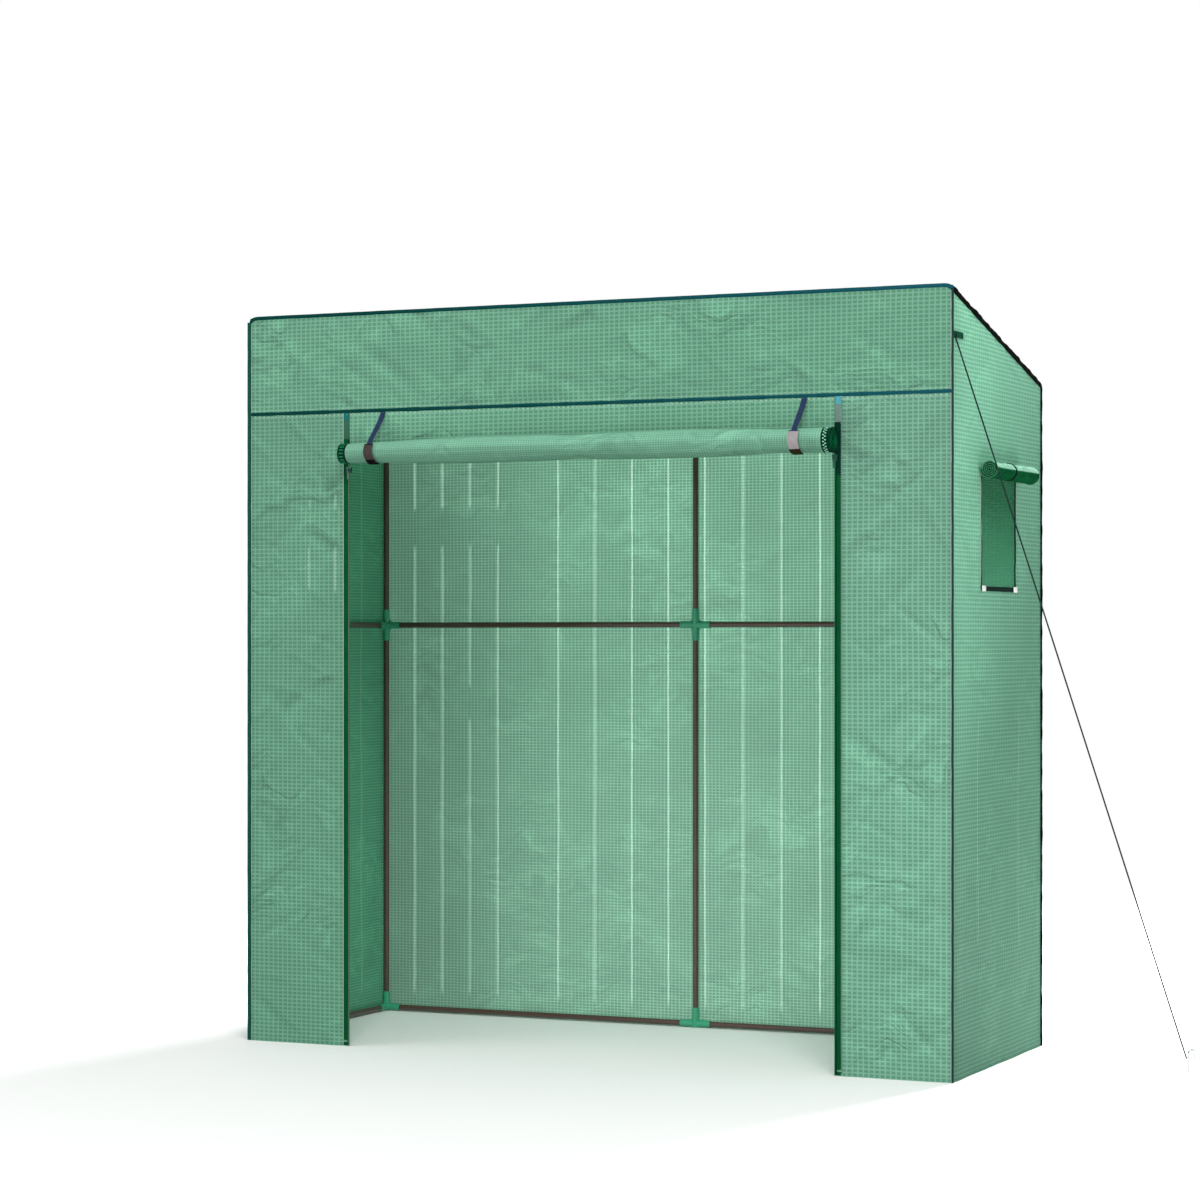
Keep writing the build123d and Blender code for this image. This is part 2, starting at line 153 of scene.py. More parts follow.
def newGroup(name, inputs, outputs):
    tree = bpy.data.node_groups.new(name, "ShaderNodeTree")
    for label, kind, value in inputs:
        socket = tree.interface.new_socket(label, in_out="INPUT", socket_type=kind)
        if value is not None:
            socket.default_value = value
    for label, kind in outputs:
        tree.interface.new_socket(label, in_out="OUTPUT", socket_type=kind)
    return tree, tree.nodes.new("NodeGroupInput"), tree.nodes.new("NodeGroupOutput")


def placeGroup(tree, group, **values):
    made = node(tree, "ShaderNodeGroup", node_tree=group)
    for label, value in values.items():
        socket = made.inputs[label]
        if isinstance(value, bpy.types.NodeSocket):
            tree.links.new(value, socket)
        elif isinstance(value, tuple):
            socket.default_value = (*value, 1) if len(value) == 3 and socket.type == "RGBA" else value
        else:
            socket.default_value = value
    return made


scalar, vector = "NodeSocketFloat", "NodeSocketVector"


# pale threads in a grid over darker cells, with a finer thread inside each cell; lengths are in metres
weaveSpec = {
    "cell": (0.0145, 0.0108),
    "broad": (0.29, 0.34),  # thread, as a share of its cell
    "softness": 0.11,
    "uneven": 0.30,
    "wander": 0.0016,
    "fine": 0.0021,
    "fineHeight": 0.12,
}


def buildWeaveGroup():
    tree, given, put = newGroup(
        "weaveGrid",
        [("Cloth", vector, None), *zip(("Cell Width", "Cell Height"), (scalar, scalar), weaveSpec["cell"])],
        [("Thread Mask", scalar), ("Height", scalar)],
    )
    calc, link = partial(math2, tree), tree.links.new
    split = node(tree, "ShaderNodeSeparateXYZ")
    link(given.outputs["Cloth"], split.inputs[0])
    wander = node(tree, "ShaderNodeTexNoise", in_2=26.0, in_3=2.0)
    link(given.outputs["Cloth"], wander.inputs["Vector"])
    shift = calc("MULTIPLY", calc("SUBTRACT", wander.outputs[0], 0.5), weaveSpec["wander"])
    masks = []
    for axis, size in enumerate(("Cell Width", "Cell Height")):
        place = calc("DIVIDE", calc("ADD", split.outputs[axis], shift), given.outputs[size])
        share = calc("ABSOLUTE", calc("SUBTRACT", calc("FRACT", place), 0.5))
        rise = calc("SUBTRACT", share, 0.5 - weaveSpec["broad"][axis] / 2)
        masks.append(calc("ADD", calc("DIVIDE", rise, weaveSpec["softness"]), 0.5, clamp=True))
    either, both = calc("MAXIMUM", *masks), calc("MULTIPLY", *masks)
    blot = node(tree, "ShaderNodeTexNoise", in_2=60.0, in_3=3.0)
    link(given.outputs["Cloth"], blot.inputs["Vector"])
    fade = calc("MULTIPLY", calc("SUBTRACT", blot.outputs[0], 0.5), weaveSpec["uneven"])
    mask = calc("ADD", calc("MULTIPLY", either, 0.9), calc("MULTIPLY", both, 0.1))
    link(calc("ADD", mask, fade, clamp=True), put.inputs["Thread Mask"])
    turns = 2 * math.pi / weaveSpec["fine"]
    waves = [calc("SINE", calc("MULTIPLY", split.outputs[axis], turns)) for axis in (0, 1)]
    fine = calc("MULTIPLY", calc("MULTIPLY", *waves), weaveSpec["fineHeight"])
    link(calc("ADD", either, fine), put.inputs["Height"])
    return tree


# slow changes of tone, fine crumples and creases of a thin film; its third output marks crease lines that
# the film paints lighter in one direction and darker in the other, painted light and shade
def buildCrumpleGroup():
    tree, given, put = newGroup(
        "crumple",
        [("Cloth", vector, None), ("Seed", scalar, 0.0)],
        [("Tone", scalar), ("Height", scalar), ("Line", scalar)],
    )
    calc, link = partial(math2, tree), tree.links.new
    moved = node(tree, "ShaderNodeVectorMath", operation="ADD")
    link(given.outputs["Cloth"], moved.inputs[0])
    link(given.outputs["Seed"], moved.inputs[1])
    slow = node(tree, "ShaderNodeTexNoise", in_2=4.5, in_3=3.0)
    link(moved.outputs[0], slow.inputs["Vector"])
    warp = node(tree, "ShaderNodeTexNoise", in_2=7.0, in_3=2.0)
    link(moved.outputs[0], warp.inputs["Vector"])
    push = node(tree, "ShaderNodeVectorMath", operation="MULTIPLY_ADD")
    link(warp.outputs[1], push.inputs[0])
    push.inputs[1].default_value = (0.22, 0.22, 0.0)
    link(moved.outputs[0], push.inputs[2])
    lines = []
    for turn, stretch in ((0.62, (5.0, 17.0, 1.0)), (-0.5, (4.0, 15.0, 1.0))):
        lay = node(tree, "ShaderNodeMapping", vector_type="POINT")
        lay.inputs["Rotation"].default_value = (0, 0, turn)
        lay.inputs["Scale"].default_value = stretch
        link(push.outputs[0], lay.inputs["Vector"])
        ridge = node(tree, "ShaderNodeTexNoise", in_2=1.0, in_3=2.0)
        link(lay.outputs[0], ridge.inputs["Vector"])
        fold = calc("ABSOLUTE", calc("SUBTRACT", ridge.outputs[0], 0.5))
        sharp = calc("SUBTRACT", 1.0, calc("MULTIPLY", fold, 9.0), clamp=True)
        lines.append(calc("MULTIPLY", sharp, sharp))
    gate = calc("MULTIPLY", calc("SUBTRACT", slow.outputs[0], 0.46), 7.0, clamp=True)
    link(slow.outputs[0], put.inputs["Tone"])
    link(calc("MULTIPLY", calc("MAXIMUM", *lines), gate), put.inputs["Height"])
    apart = calc("SUBTRACT", lines[0], calc("MULTIPLY", lines[1], 0.9))
    link(calc("MULTIPLY", apart, gate), put.inputs["Line"])
    return tree


# woven threads of tapes, straps and cords
def buildRibGroup():
    tree, given, put = newGroup(
        "webbingRib",
        [("Cloth", vector, None), ("Pitch", scalar, 0.0018)],
        [("Mask", scalar), ("Tone", scalar)],
    )
    calc, link = partial(math2, tree), tree.links.new
    split = node(tree, "ShaderNodeSeparateXYZ")
    link(given.outputs["Cloth"], split.inputs[0])
    slant = calc("MULTIPLY", calc("ABSOLUTE", split.outputs[1]), 0.35)
    run = calc("DIVIDE", calc("ADD", split.outputs[0], slant), given.outputs["Pitch"])
    wave = calc("SINE", calc("MULTIPLY", run, 2 * math.pi))
    across = calc("DIVIDE", split.outputs[1], given.outputs["Pitch"])
    across = calc("SINE", calc("MULTIPLY", across, math.pi))
    both = calc("ADD", calc("MULTIPLY", calc("MULTIPLY", wave, across), 0.5), 0.5)
    blot = node(tree, "ShaderNodeTexNoise", in_2=45.0, in_3=4.0)
    link(given.outputs["Cloth"], blot.inputs["Vector"])
    link(both, put.inputs["Mask"])
    link(blot.outputs[0], put.inputs["Tone"])
    return tree


weaveGroup, crumpleGroup, ribGroup = buildWeaveGroup(), buildCrumpleGroup(), buildRibGroup()


def newMaterial(name):
    made = bpy.data.materials.new(name)
    made.use_nodes = True
    tree = made.node_tree
    tree.nodes.clear()
    out = tree.nodes.new("ShaderNodeOutputMaterial")
    shader = tree.nodes.new("ShaderNodeBsdfPrincipled")
    tree.links.new(shader.outputs[0], out.inputs[0])
    return made, tree, shader, out


# which object axes run along and up a flat panel
panelAxes = {"front": (0, 2), "side": (1, 2), "roof": (0, 1)}


def clothCoordinates(tree, plane):
    if plane == "uv":
        return node(tree, "ShaderNodeUVMap", uv_map="cloth").outputs[0]
    place = node(tree, "ShaderNodeTexCoord")
    split = node(tree, "ShaderNodeSeparateXYZ")
    tree.links.new(place.outputs["Object"], split.inputs[0])
    join = node(tree, "ShaderNodeCombineXYZ")
    across, along = panelAxes[plane]
    tree.links.new(split.outputs[across], join.inputs[0])
    tree.links.new(split.outputs[along], join.inputs[1])
    return join.outputs[0]


filmSpec = {
    "thread": (0.200, 0.440, 0.312),
    "cell": (0.108, 0.295, 0.188),
    "roughness": 0.52,
    "threadShine": -0.08,
    "slowTone": 0.22,
    # painted light and shade: how strongly crease lines and the folds' ridges and dips lighten and darken
    # the film
    "lineShading": 0.20,
    "foldShading": 0.17,
    # strength and height of the bump
    "weaveBump": (0.55, 0.0006),
    "crumpleBump": (0.6, 0.0050),
}
bandSpec = {"half": 0.0046, "sharp": 1.5, "ends": 60.0, "tint": (0.50, 0.69, 0.61)}


# a coordinate of the cloth turned into a share between two places
def rampAlong(tree, source, values, **more):
    ramp = node(tree, "ShaderNodeMapRange", **more)
    tree.links.new(source, ramp.inputs[0])
    for index, value in enumerate(values):
        ramp.inputs[1 + index].default_value = value
    return ramp.outputs[0]


def scaleBy(tree, base, factor):
    scaled = node(tree, "ShaderNodeVectorMath", operation="SCALE")
    tree.links.new(base, scaled.inputs[0])
    if isinstance(factor, float):
        scaled.inputs["Scale"].default_value = factor
    else:
        tree.links.new(factor, scaled.inputs["Scale"])
    return scaled.outputs[0]


def axesOf(tree, source):
    split = node(tree, "ShaderNodeSeparateXYZ")
    tree.links.new(source, split.inputs[0])
    return split.outputs


def addBump(tree, height, strength, distance, before=None):
    bump = node(tree, "ShaderNodeBump", in_0=strength, in_1=distance)
    tree.links.new(height, bump.inputs["Height"])
    if before is not None:
        tree.links.new(before, bump.inputs["Normal"])
    return bump.outputs[0]


# light scales the film's colours for each panel, so the panels are lit and shaded copies of one film:
# painted light and shade
def filmMaterial(
    name,
    plane,
    size=1.0,
    light=(1.0, 1.0, 1.0),
    seed=0.0,
    lines=None,
    translucent=0.32,
    shade=None,
    streak=0.0,
    creased=1.0,
    gloss=0.16,
    glow=None,
):
    made, tree, shader, out = newMaterial(name)
    calc, link = partial(math2, tree), tree.links.new
    cloth = clothCoordinates(tree, plane)
    cell = {f"Cell {label}": length * size for label, length in zip(("Width", "Height"), weaveSpec["cell"])}
    weave = placeGroup(tree, weaveGroup, Cloth=cloth, **cell)
    crumple = placeGroup(tree, crumpleGroup, Cloth=cloth, Seed=seed)
    pale = tuple(c * share for c, share in zip(filmSpec["thread"], light))
    dark = tuple(c * share for c, share in zip(filmSpec["cell"], light))
    base = mixColour(tree, weave.outputs["Thread Mask"], dark, pale)
    slow = calc("SUBTRACT", crumple.outputs["Tone"], 0.5)
    # the sheet's painted light and shade: from its folds, and on rolls from their tops and undersides
    fold = node(tree, "ShaderNodeAttribute", attribute_name="paintedShading").outputs["Fac"]
    bright = calc("ADD", 1.0, calc("MULTIPLY", slow, filmSpec["slowTone"]))
    # painted light and shade along crease lines and over the folds
    bright = calc("ADD", bright, calc("MULTIPLY", crumple.outputs["Line"], filmSpec["lineShading"] * creased))
    bright = calc("ADD", bright, calc("MULTIPLY", fold, filmSpec["foldShading"] * creased))
    if streak:
        # long pale stripes along the width of a rolled sheet
        lay = node(tree, "ShaderNodeMapping", vector_type="POINT")
        lay.inputs["Scale"].default_value = (1.2, 95.0, 1.0)
        link(cloth, lay.inputs["Vector"])
        stripe = node(tree, "ShaderNodeTexNoise", in_2=1.0, in_3=2.0)
        link(lay.outputs[0], stripe.inputs["Vector"])
        bright = calc("ADD", bright, calc("MULTIPLY", calc("SUBTRACT", stripe.outputs[0], 0.5), streak))
    if shade:
        # painted light and shade: darker from one end of the panel to the other along its own axis, or along
        # a line that leans
        axes = axesOf(tree, cloth)
        reached = axes[shade["axis"]]
        if "lean" in shade:
            reached = calc("SUBTRACT", reached, calc("MULTIPLY", axes[1 - shade["axis"]], shade["lean"]))
        values = [shade[key] for key in ("from", "to", "low", "high")]
        bright = calc("MULTIPLY", bright, rampAlong(tree, reached, values, interpolation_type="SMOOTHSTEP"))
    base = scaleBy(tree, base, bright)
    if lines:
        base = addBands(tree, cloth, base, weave.outputs["Thread Mask"], lines)
    link(base, shader.inputs["Base Color"])
    shine = calc("MULTIPLY", weave.outputs["Thread Mask"], filmSpec["threadShine"])
    link(calc("ADD", filmSpec["roughness"], shine), shader.inputs["Roughness"])
    shader.inputs["Specular IOR Level"].default_value = gloss
    (fine, fineHigh), (broad, broadHigh) = filmSpec["weaveBump"], filmSpec["crumpleBump"]
    threads = addBump(tree, weave.outputs["Height"], fine * creased, fineHigh)
    folds = addBump(tree, crumple.outputs["Height"], broad * creased, broadHigh, threads)
    link(folds, shader.inputs["Normal"])
    if translucent:
        if glow:
            # painted light: light that comes through is scaled up, so it may be stronger than light thrown
            # back and than the light that reaches the film
            passed = node(tree, "ShaderNodeVectorMath", operation="MULTIPLY", in_1=glow)
            link(base, passed.inputs[0])
            base = passed.outputs[0]
        behind = node(tree, "ShaderNodeBsdfTranslucent")
        link(base, behind.inputs[0])
        mix = node(tree, "ShaderNodeMixShader", in_0=translucent)
        link(shader.outputs[0], mix.inputs[1])
        link(behind.outputs[0], mix.inputs[2])
        link(mix.outputs[0], out.inputs[0])
    return made


# pale bands woven into the film: dashes along the upright threads at each listed place
def addBands(tree, cloth, base, mask, lines):
    calc = partial(math2, tree)
    across, along = axesOf(tree, cloth)[:2]
    total = None
    for place, bottom, top, strength in lines:
        off = calc("DIVIDE", calc("ABSOLUTE", calc("SUBTRACT", across, place)), bandSpec["half"])
        core = calc("MULTIPLY", calc("SUBTRACT", 1.0, off, clamp=True), bandSpec["sharp"], clamp=True)
        over = calc("MULTIPLY", calc("SUBTRACT", along, bottom), bandSpec["ends"], clamp=True)
        under = calc("MULTIPLY", calc("SUBTRACT", top, along), bandSpec["ends"], clamp=True)
        one = calc("MULTIPLY", calc("MULTIPLY", core, over), calc("MULTIPLY", under, strength))
        total = one if total is None else calc("MAXIMUM", total, one)
    broken = calc("ADD", calc("MULTIPLY", mask, 0.50), 0.55, clamp=True)
    return mixColour(tree, calc("MULTIPLY", total, broken), base, bandSpec["tint"])


def webbingMaterial(name, tint, pitch, plane="uv", rough=0.75, toRight=None):
    made, tree, shader, _ = newMaterial(name)
    cloth = clothCoordinates(tree, plane)
    rib = placeGroup(tree, ribGroup, Cloth=cloth, Pitch=pitch)
    gap = 0.62  # how dark the gaps between threads are
    if toRight:
        # from one tint at the left end of the cover to another at the right; the piping's lighter, bluer
        # right end is painted light
        place = node(tree, "ShaderNodeTexCoord")
        share = rampAlong(tree, axesOf(tree, place.outputs["Object"])[0], (-0.6, 1.0))
        full = mixColour(tree, share, tint, toRight)
        low = scaleBy(tree, full, gap)
    else:
        full, low = tint, tuple(c * gap for c in tint)
    base = mixColour(tree, rib.outputs["Mask"], low, full)
    tone = math2(tree, "ADD", 0.75, math2(tree, "MULTIPLY", rib.outputs["Tone"], 0.5))
    tree.links.new(scaleBy(tree, base, tone), shader.inputs["Base Color"])
    shader.inputs["Roughness"].default_value = rough
    shader.inputs["Specular IOR Level"].default_value = 0.02
    tree.links.new(addBump(tree, rib.outputs["Mask"], 0.5, 0.0004), shader.inputs["Normal"])
    return made


def solidMaterial(name, tint, rough, metal=0.0, coat=0.0, grain=180.0, spread=0.18, gloss=0.5, above=None):
    made, tree, shader, _ = newMaterial(name)
    calc, link = partial(math2, tree), tree.links.new
    place = node(tree, "ShaderNodeTexCoord")
    speck = node(tree, "ShaderNodeTexNoise", in_2=grain, in_3=4.0)
    link(place.outputs["Object"], speck.inputs["Vector"])
    slow = node(tree, "ShaderNodeTexNoise", in_2=grain / 22, in_3=2.0)
    link(place.outputs["Object"], slow.inputs["Vector"])
    both = calc("ADD", calc("MULTIPLY", speck.outputs[0], 0.5), calc("MULTIPLY", slow.outputs[0], 0.5))
    low = tuple(c * (1 - spread) for c in tint)
    high = tuple(min(1.0, c * (1 + spread)) for c in tint)
    base = mixColour(tree, both, low, high)
    if above:
        # toward another tint between two heights; the screen uses it for painted shade at its top
        share = rampAlong(tree, axesOf(tree, place.outputs["Object"])[2], (above["from"], above["to"]))
        base = mixColour(tree, share, base, above["tint"])
    link(base, shader.inputs["Base Color"])
    shader.inputs["Specular IOR Level"].default_value = gloss
    link(calc("ADD", rough - 0.06, calc("MULTIPLY", both, 0.12)), shader.inputs["Roughness"])
    shader.inputs["Metallic"].default_value = metal
    shader.inputs["Coat Weight"].default_value = coat
    link(addBump(tree, speck.outputs[0], 0.25, 0.0002), shader.inputs["Normal"])
    return made


# faint pale bands in the film: place across, bottom, top, strength
filmLines = {
    "wingLeft": [
        (-0.8162, 1.439, 1.480, 0.42),
        (-0.8162, 1.221, 1.351, 0.50),
        (-0.7355, 1.439, 1.495, 0.48),
        (-0.7355, 1.216, 1.350, 0.55),
    ],
    "wingRight": [(0.862, 0.334, 0.895, 0.20), (0.9633, 0.332, 0.763, 0.16)],
    "side": [(-0.1469, 0.321, 0.904, 0.22), (0.2047, 0.270, 0.903, 0.20)],
}
flapLook = {"size": 0.55, "seed": 4.0, "streak": 0.3, "translucent": 0.0}
materials = {
    "front": filmMaterial("coverFilmFront", "front"),
    # painted light and shade: the left wing a little darker overall and lighter toward its foot
    "wingLeft": filmMaterial(
        "coverFilmWingLeft",
        "front",
        light=(0.92, 0.93, 0.93),
        seed=1.5,
        lines=filmLines["wingLeft"],
        shade={"axis": 1, "from": 0.0, "to": 1.0, "low": 1.10, "high": 1.0},
    ),
    # painted light: the right wing lighter, most of all low down
    "wingRight": filmMaterial(
        "coverFilmWingRight",
        "front",
        light=(1.08, 1.00, 1.05),
        seed=2.0,
        lines=filmLines["wingRight"],
        shade={"axis": 1, "from": 0.6, "to": 1.6, "low": 1.22, "high": 1.02},
    ),
    # painted light and shade: the side lighter at its top front and darker toward its rear edge and foot,
    # along a leaning line
    "side": filmMaterial(
        "coverFilmSide",
        "side",
        light=(1.20, 1.16, 1.20),
        seed=3.0,
        lines=filmLines["side"],
        creased=0.4,
        gloss=0.02,
        shade={"axis": 1, "lean": 1.35, "from": 0.52, "to": 2.27, "low": 0.655, "high": 1.42},
    ),
    "roof": filmMaterial("coverFilmRoof", "roof", seed=5.0),
    # painted light: the hanging door a lighter copy of the film
    "curtain": filmMaterial("coverFilmCurtain", "front", light=(1.10, 1.10, 1.10), seed=6.0),
    # the door roll's film, a slightly darker copy: painted shade; the sheet's tone paints its top and
    # underside
    "rollFilm": filmMaterial(
        "coverFilmRoll",
        "uv",
        size=0.5,
        light=(0.98, 0.94, 0.96),
        seed=7.0,
        streak=0.4,
        translucent=0.0,
        gloss=0.03,
    ),
    # the window roll's film as a lit copy for its top and a darker copy for its underside and inner turns:
    # painted light and shade
    "rollFlap": filmMaterial("coverFilmFlapRoll", "uv", light=(1.08, 0.99, 1.04), gloss=0.03, **flapLook),
    "rollFlapShaded": filmMaterial(
        "coverFilmFlapShadedUnder", "uv", light=(0.030, 0.21, 0.105), gloss=0.0, **flapLook
    ),
    # painted light: the piping tape lighter and bluer toward the right end
    "piping": webbingMaterial("pipingTape", (0.002, 0.046, 0.040), 0.0022, toRight=(0.008, 0.082, 0.105)),
    "loopTab": webbingMaterial("loopTab", (0.78, 0.78, 0.76), 0.0014, rough=0.9),
    "rope": webbingMaterial("ropeBraid", (0.020, 0.042, 0.036), 0.004, plane="front"),
    # the screen's threads darken toward the top of the window: painted shade
    "screenThread": solidMaterial(
        "screenThread",
        (0.055, 0.235, 0.130),
        0.8,
        grain=400.0,
        gloss=0.02,
        above={"from": windowSill, "to": windowHead - 0.06, "tint": (0.018, 0.135, 0.060)},
    ),
    "zipTeeth": solidMaterial("zipTeeth", (0.13, 0.20, 0.15), 0.6),
    "zipTeethGreen": solidMaterial("zipTeethGreen", (0.006, 0.150, 0.062), 0.5, gloss=0.1),
    "zipTeethPale": solidMaterial("zipTeethPale", (0.20, 0.52, 0.36), 0.5, gloss=0.2),
    "zipTeethDark": solidMaterial("zipTeethDark", (0.003, 0.012, 0.008), 0.5, gloss=0.05),
    "tube": solidMaterial("tubePaint", (0.075, 0.044, 0.033), 0.30, coat=0.3, grain=90.0, spread=0.35),
    "connector": solidMaterial("connectorPlastic", (0.038, 0.33, 0.185), 0.36, grain=220.0),
    "zipMetal": solidMaterial("zipMetal", (0.014, 0.095, 0.066), 0.36, metal=0.3, grain=300.0),
    "pullMetal": solidMaterial("pullMetal", (0.07, 0.10, 0.085), 0.35, metal=0.5, grain=300.0),
    "peg": solidMaterial("pegSteel", (0.55, 0.56, 0.56), 0.32, metal=1.0, grain=250.0),
    "stitch": solidMaterial("stitchThread", (0.42, 0.62, 0.52), 0.7, grain=600.0, gloss=0.1),
}
webbingTints = {
    # pitch of the threads: key, name of the material, tint
    0.0011: (
        ("rollEnd", "rollEndGreen", (0.004, 0.135, 0.052)),
        ("zipTape", "zipTape", (0.001, 0.080, 0.022)),
        ("zipTapeDark", "zipTapeDark", (0.001, 0.030, 0.016)),
        # paler tints for the zip tape above the dark band by the roll; the left one also edges the hanging
        # curtain
        ("zipWornLeft", "zipTapeUpperLeft", (0.036, 0.130, 0.080)),
        ("zipWornRight", "zipTapeUpperRight", (0.145, 0.235, 0.200)),
        ("zipEndLeft", "zipTapeEndLeft", (0.008, 0.165, 0.150)),
        ("zipEndRight", "zipTapeEndRight", (0.075, 0.360, 0.430)),
    ),
    0.0018: (
        ("rollFlapEnd", "flapRollEnd", (0.042, 0.195, 0.102)),
        ("strap", "strapWebbing", (0.024, 0.040, 0.090)),
        ("strapDark", "strapPatchDark", (0.060, 0.047, 0.046)),
        ("strapPale", "strapPatchPale", (0.33, 0.30, 0.305)),
        # darker tints for the patches where they pass round the underside of the roll, and along the left
        # patch's top edge: painted shade
        ("strapOlive", "strapPatchOlive", (0.022, 0.022, 0.008)),
        ("strapBlack", "strapPatchBlack", (0.006, 0.005, 0.006)),
        ("binding", "windowBinding", (0.003, 0.016, 0.011)),
        ("tab", "guyTab", (0.003, 0.062, 0.032)),
    ),
    0.0022: (
        ("edgeTape", "edgeTape", (0.022, 0.046, 0.038)),
        ("edgeLeft", "edgeTapeLeft", (0.008, 0.078, 0.052)),
        ("roofTape", "roofEdgeTape", (0.0015, 0.0030, 0.0022)),
        # pale lines along the film's edges: painted highlight
        ("edgePale", "filmEdgeHighlight", (0.36, 0.44, 0.40)),
    ),
}
for pitch, rows in webbingTints.items():
    for key, name, tint in rows:
        materials[key] = webbingMaterial(name, tint, pitch)
print("materials made:", len(materials))

# guy rope: the cord; its knot comes with the guy tabs, and its peg is a part that stays as it is
ropeSpec = {
    "top": (1.0028, -0.33285, 1.8415),
    "foot": (1.479839, 0.079553, 0.034),
    "radius": 0.002,
    "length": 1.9143,
}
ropeData = bpy.data.curves.new("guyRope", "CURVE")
ropeData.dimensions = "3D"
ropeData.bevel_depth = ropeSpec["radius"]
ropeData.bevel_resolution = 3
ropeData.use_fill_caps = True
ropeLine = ropeData.splines.new("NURBS")
ropeTop, ropeFoot = Vector(ropeSpec["top"]), Vector(ropeSpec["foot"])
ropePoints = [ropeTop.lerp(ropeFoot, share) for share in (0.0, 0.06, 0.3, 0.7, 0.94, 1.0)]
ropeLine.points.add(len(ropePoints) - 1)
for point, spot in zip(ropeLine.points, ropePoints):
    point.co = (*spot, 1)
ropeLine.order_u = 3
ropeLine.use_endpoint_u = True
rope = bpy.data.objects.new("guyRope", ropeData)
scene.collection.objects.link(rope)
ropeData.materials.append(materials["rope"])
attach(rope, "root")
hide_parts("guy_rope")
print("rope in place")


# what a piece rides and which solids it stands for
def rootPiece(piece, replaced=None, body="root"):
    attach(piece, body)
    if replaced:
        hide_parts(replaced)
    return piece


# mesh helpers
def ticks(start, stop, step, *breaks):
    stops = sorted({start, stop, *[b for b in breaks if start < b < stop]})
    found = [start]
    for a, b in zip(stops, stops[1:]):
        count = max(1, round((b - a) / step))
        found += [a + (b - a) * i / count for i in range(1, count + 1)]
    return np.array(found)


def addMesh(name, points, faces, cloth=None, fills=None, slots=(), smooth=True, sharp=40.0, tone=None):
    mesh = bpy.data.meshes.new(name)
    mesh.from_pydata([tuple(p) for p in points], [], faces)
    mesh.update()
    for slot in slots:
        mesh.materials.append(materials[slot])
    if fills is not None:
        mesh.polygons.foreach_set("material_index", np.array(fills, np.int32))
    if cloth is not None:
        layer = mesh.uv_layers.new(name="cloth")
        order = np.zeros(len(mesh.loops), np.int32)
        mesh.loops.foreach_get("vertex_index", order)
        layer.data.foreach_set("uv", np.asarray(cloth, np.float32)[order].ravel())
    # painted light and shade for the film's material to read
    if tone is not None:
        paintedShading = mesh.attributes.new("paintedShading", "FLOAT", "POINT")
        paintedShading.data.foreach_set("value", np.asarray(tone, np.float32))
    if smooth:
        mesh.shade_smooth()
        mesh.set_sharp_from_angle(angle=math.radians(sharp))
    made = bpy.data.objects.new(name, mesh)
    scene.collection.objects.link(made)
    return made


# a sheet of two close layers over a grid, shut round every free edge
def makeSheet(name, us, vs, place, thickness, slots, keep=None, fill=None, tone=None):
    uGrid, vGrid = np.meshgrid(us, vs, indexing="ij")
    outer, inner = place(uGrid, vGrid, 0.0), place(uGrid, vGrid, thickness)
    nu, nv = len(us), len(vs)
    points = np.concatenate([outer.reshape(-1, 3), inner.reshape(-1, 3)])
    cloth = np.tile(np.stack([uGrid.ravel(), vGrid.ravel()], 1), (2, 1))
    layer = nu * nv
    kept = np.ones((nu - 1, nv - 1), bool)
    if keep is not None:
        uMid, vMid = np.meshgrid((us[1:] + us[:-1]) / 2, (vs[1:] + vs[:-1]) / 2, indexing="ij")
        kept = keep(uMid, vMid)
    i, j = nu // 3, nv // 3
    side = np.cross(outer[i + 1, j] - outer[i, j], outer[i, j + 1] - outer[i, j])
    flip = np.dot(side, outer[i, j] - inner[i, j]) < 0
    faces, fills = [], []

    def face(corners, slot):
        faces.append(corners[::-1] if flip else corners)
        fills.append(slot)

    last = len(slots) - 1
    for i in range(nu - 1):
        for j in range(nv - 1):
            if not kept[i, j]:
                continue
            a, b, c, d = i * nv + j, (i + 1) * nv + j, (i + 1) * nv + j + 1, i * nv + j + 1
            front = fill(us[i], us[i + 1], vs[j], vs[j + 1]) if fill else 0
            face([a, b, c, d], front)
            face([layer + d, layer + c, layer + b, layer + a], last if fill is None else front)
            if j == 0 or not kept[i, j - 1]:
                face([a, layer + a, layer + b, b], front)
            if j == nv - 2 or not kept[i, j + 1]:
                face([c, layer + c, layer + d, d], front)
            if i == 0 or not kept[i - 1, j]:
                face([d, layer + d, layer + a, a], front)
            if i == nu - 2 or not kept[i + 1, j]:
                face([b, layer + b, layer + c, c], front)
    used = np.unique(np.concatenate([np.array(f) for f in faces]))
    renumber = np.full(len(points), -1)
    renumber[used] = np.arange(len(used))
    faces = [[int(renumber[p]) for p in f] for f in faces]
    shades = None if tone is None else np.tile(tone(uGrid, vGrid).ravel(), 2)[used]
    return addMesh(name, points[used], faces, cloth[used], fills, slots, tone=shades)


def smoothStep(x):
    x = np.clip(x, 0, 1)
    return x * x * (3 - 2 * x)


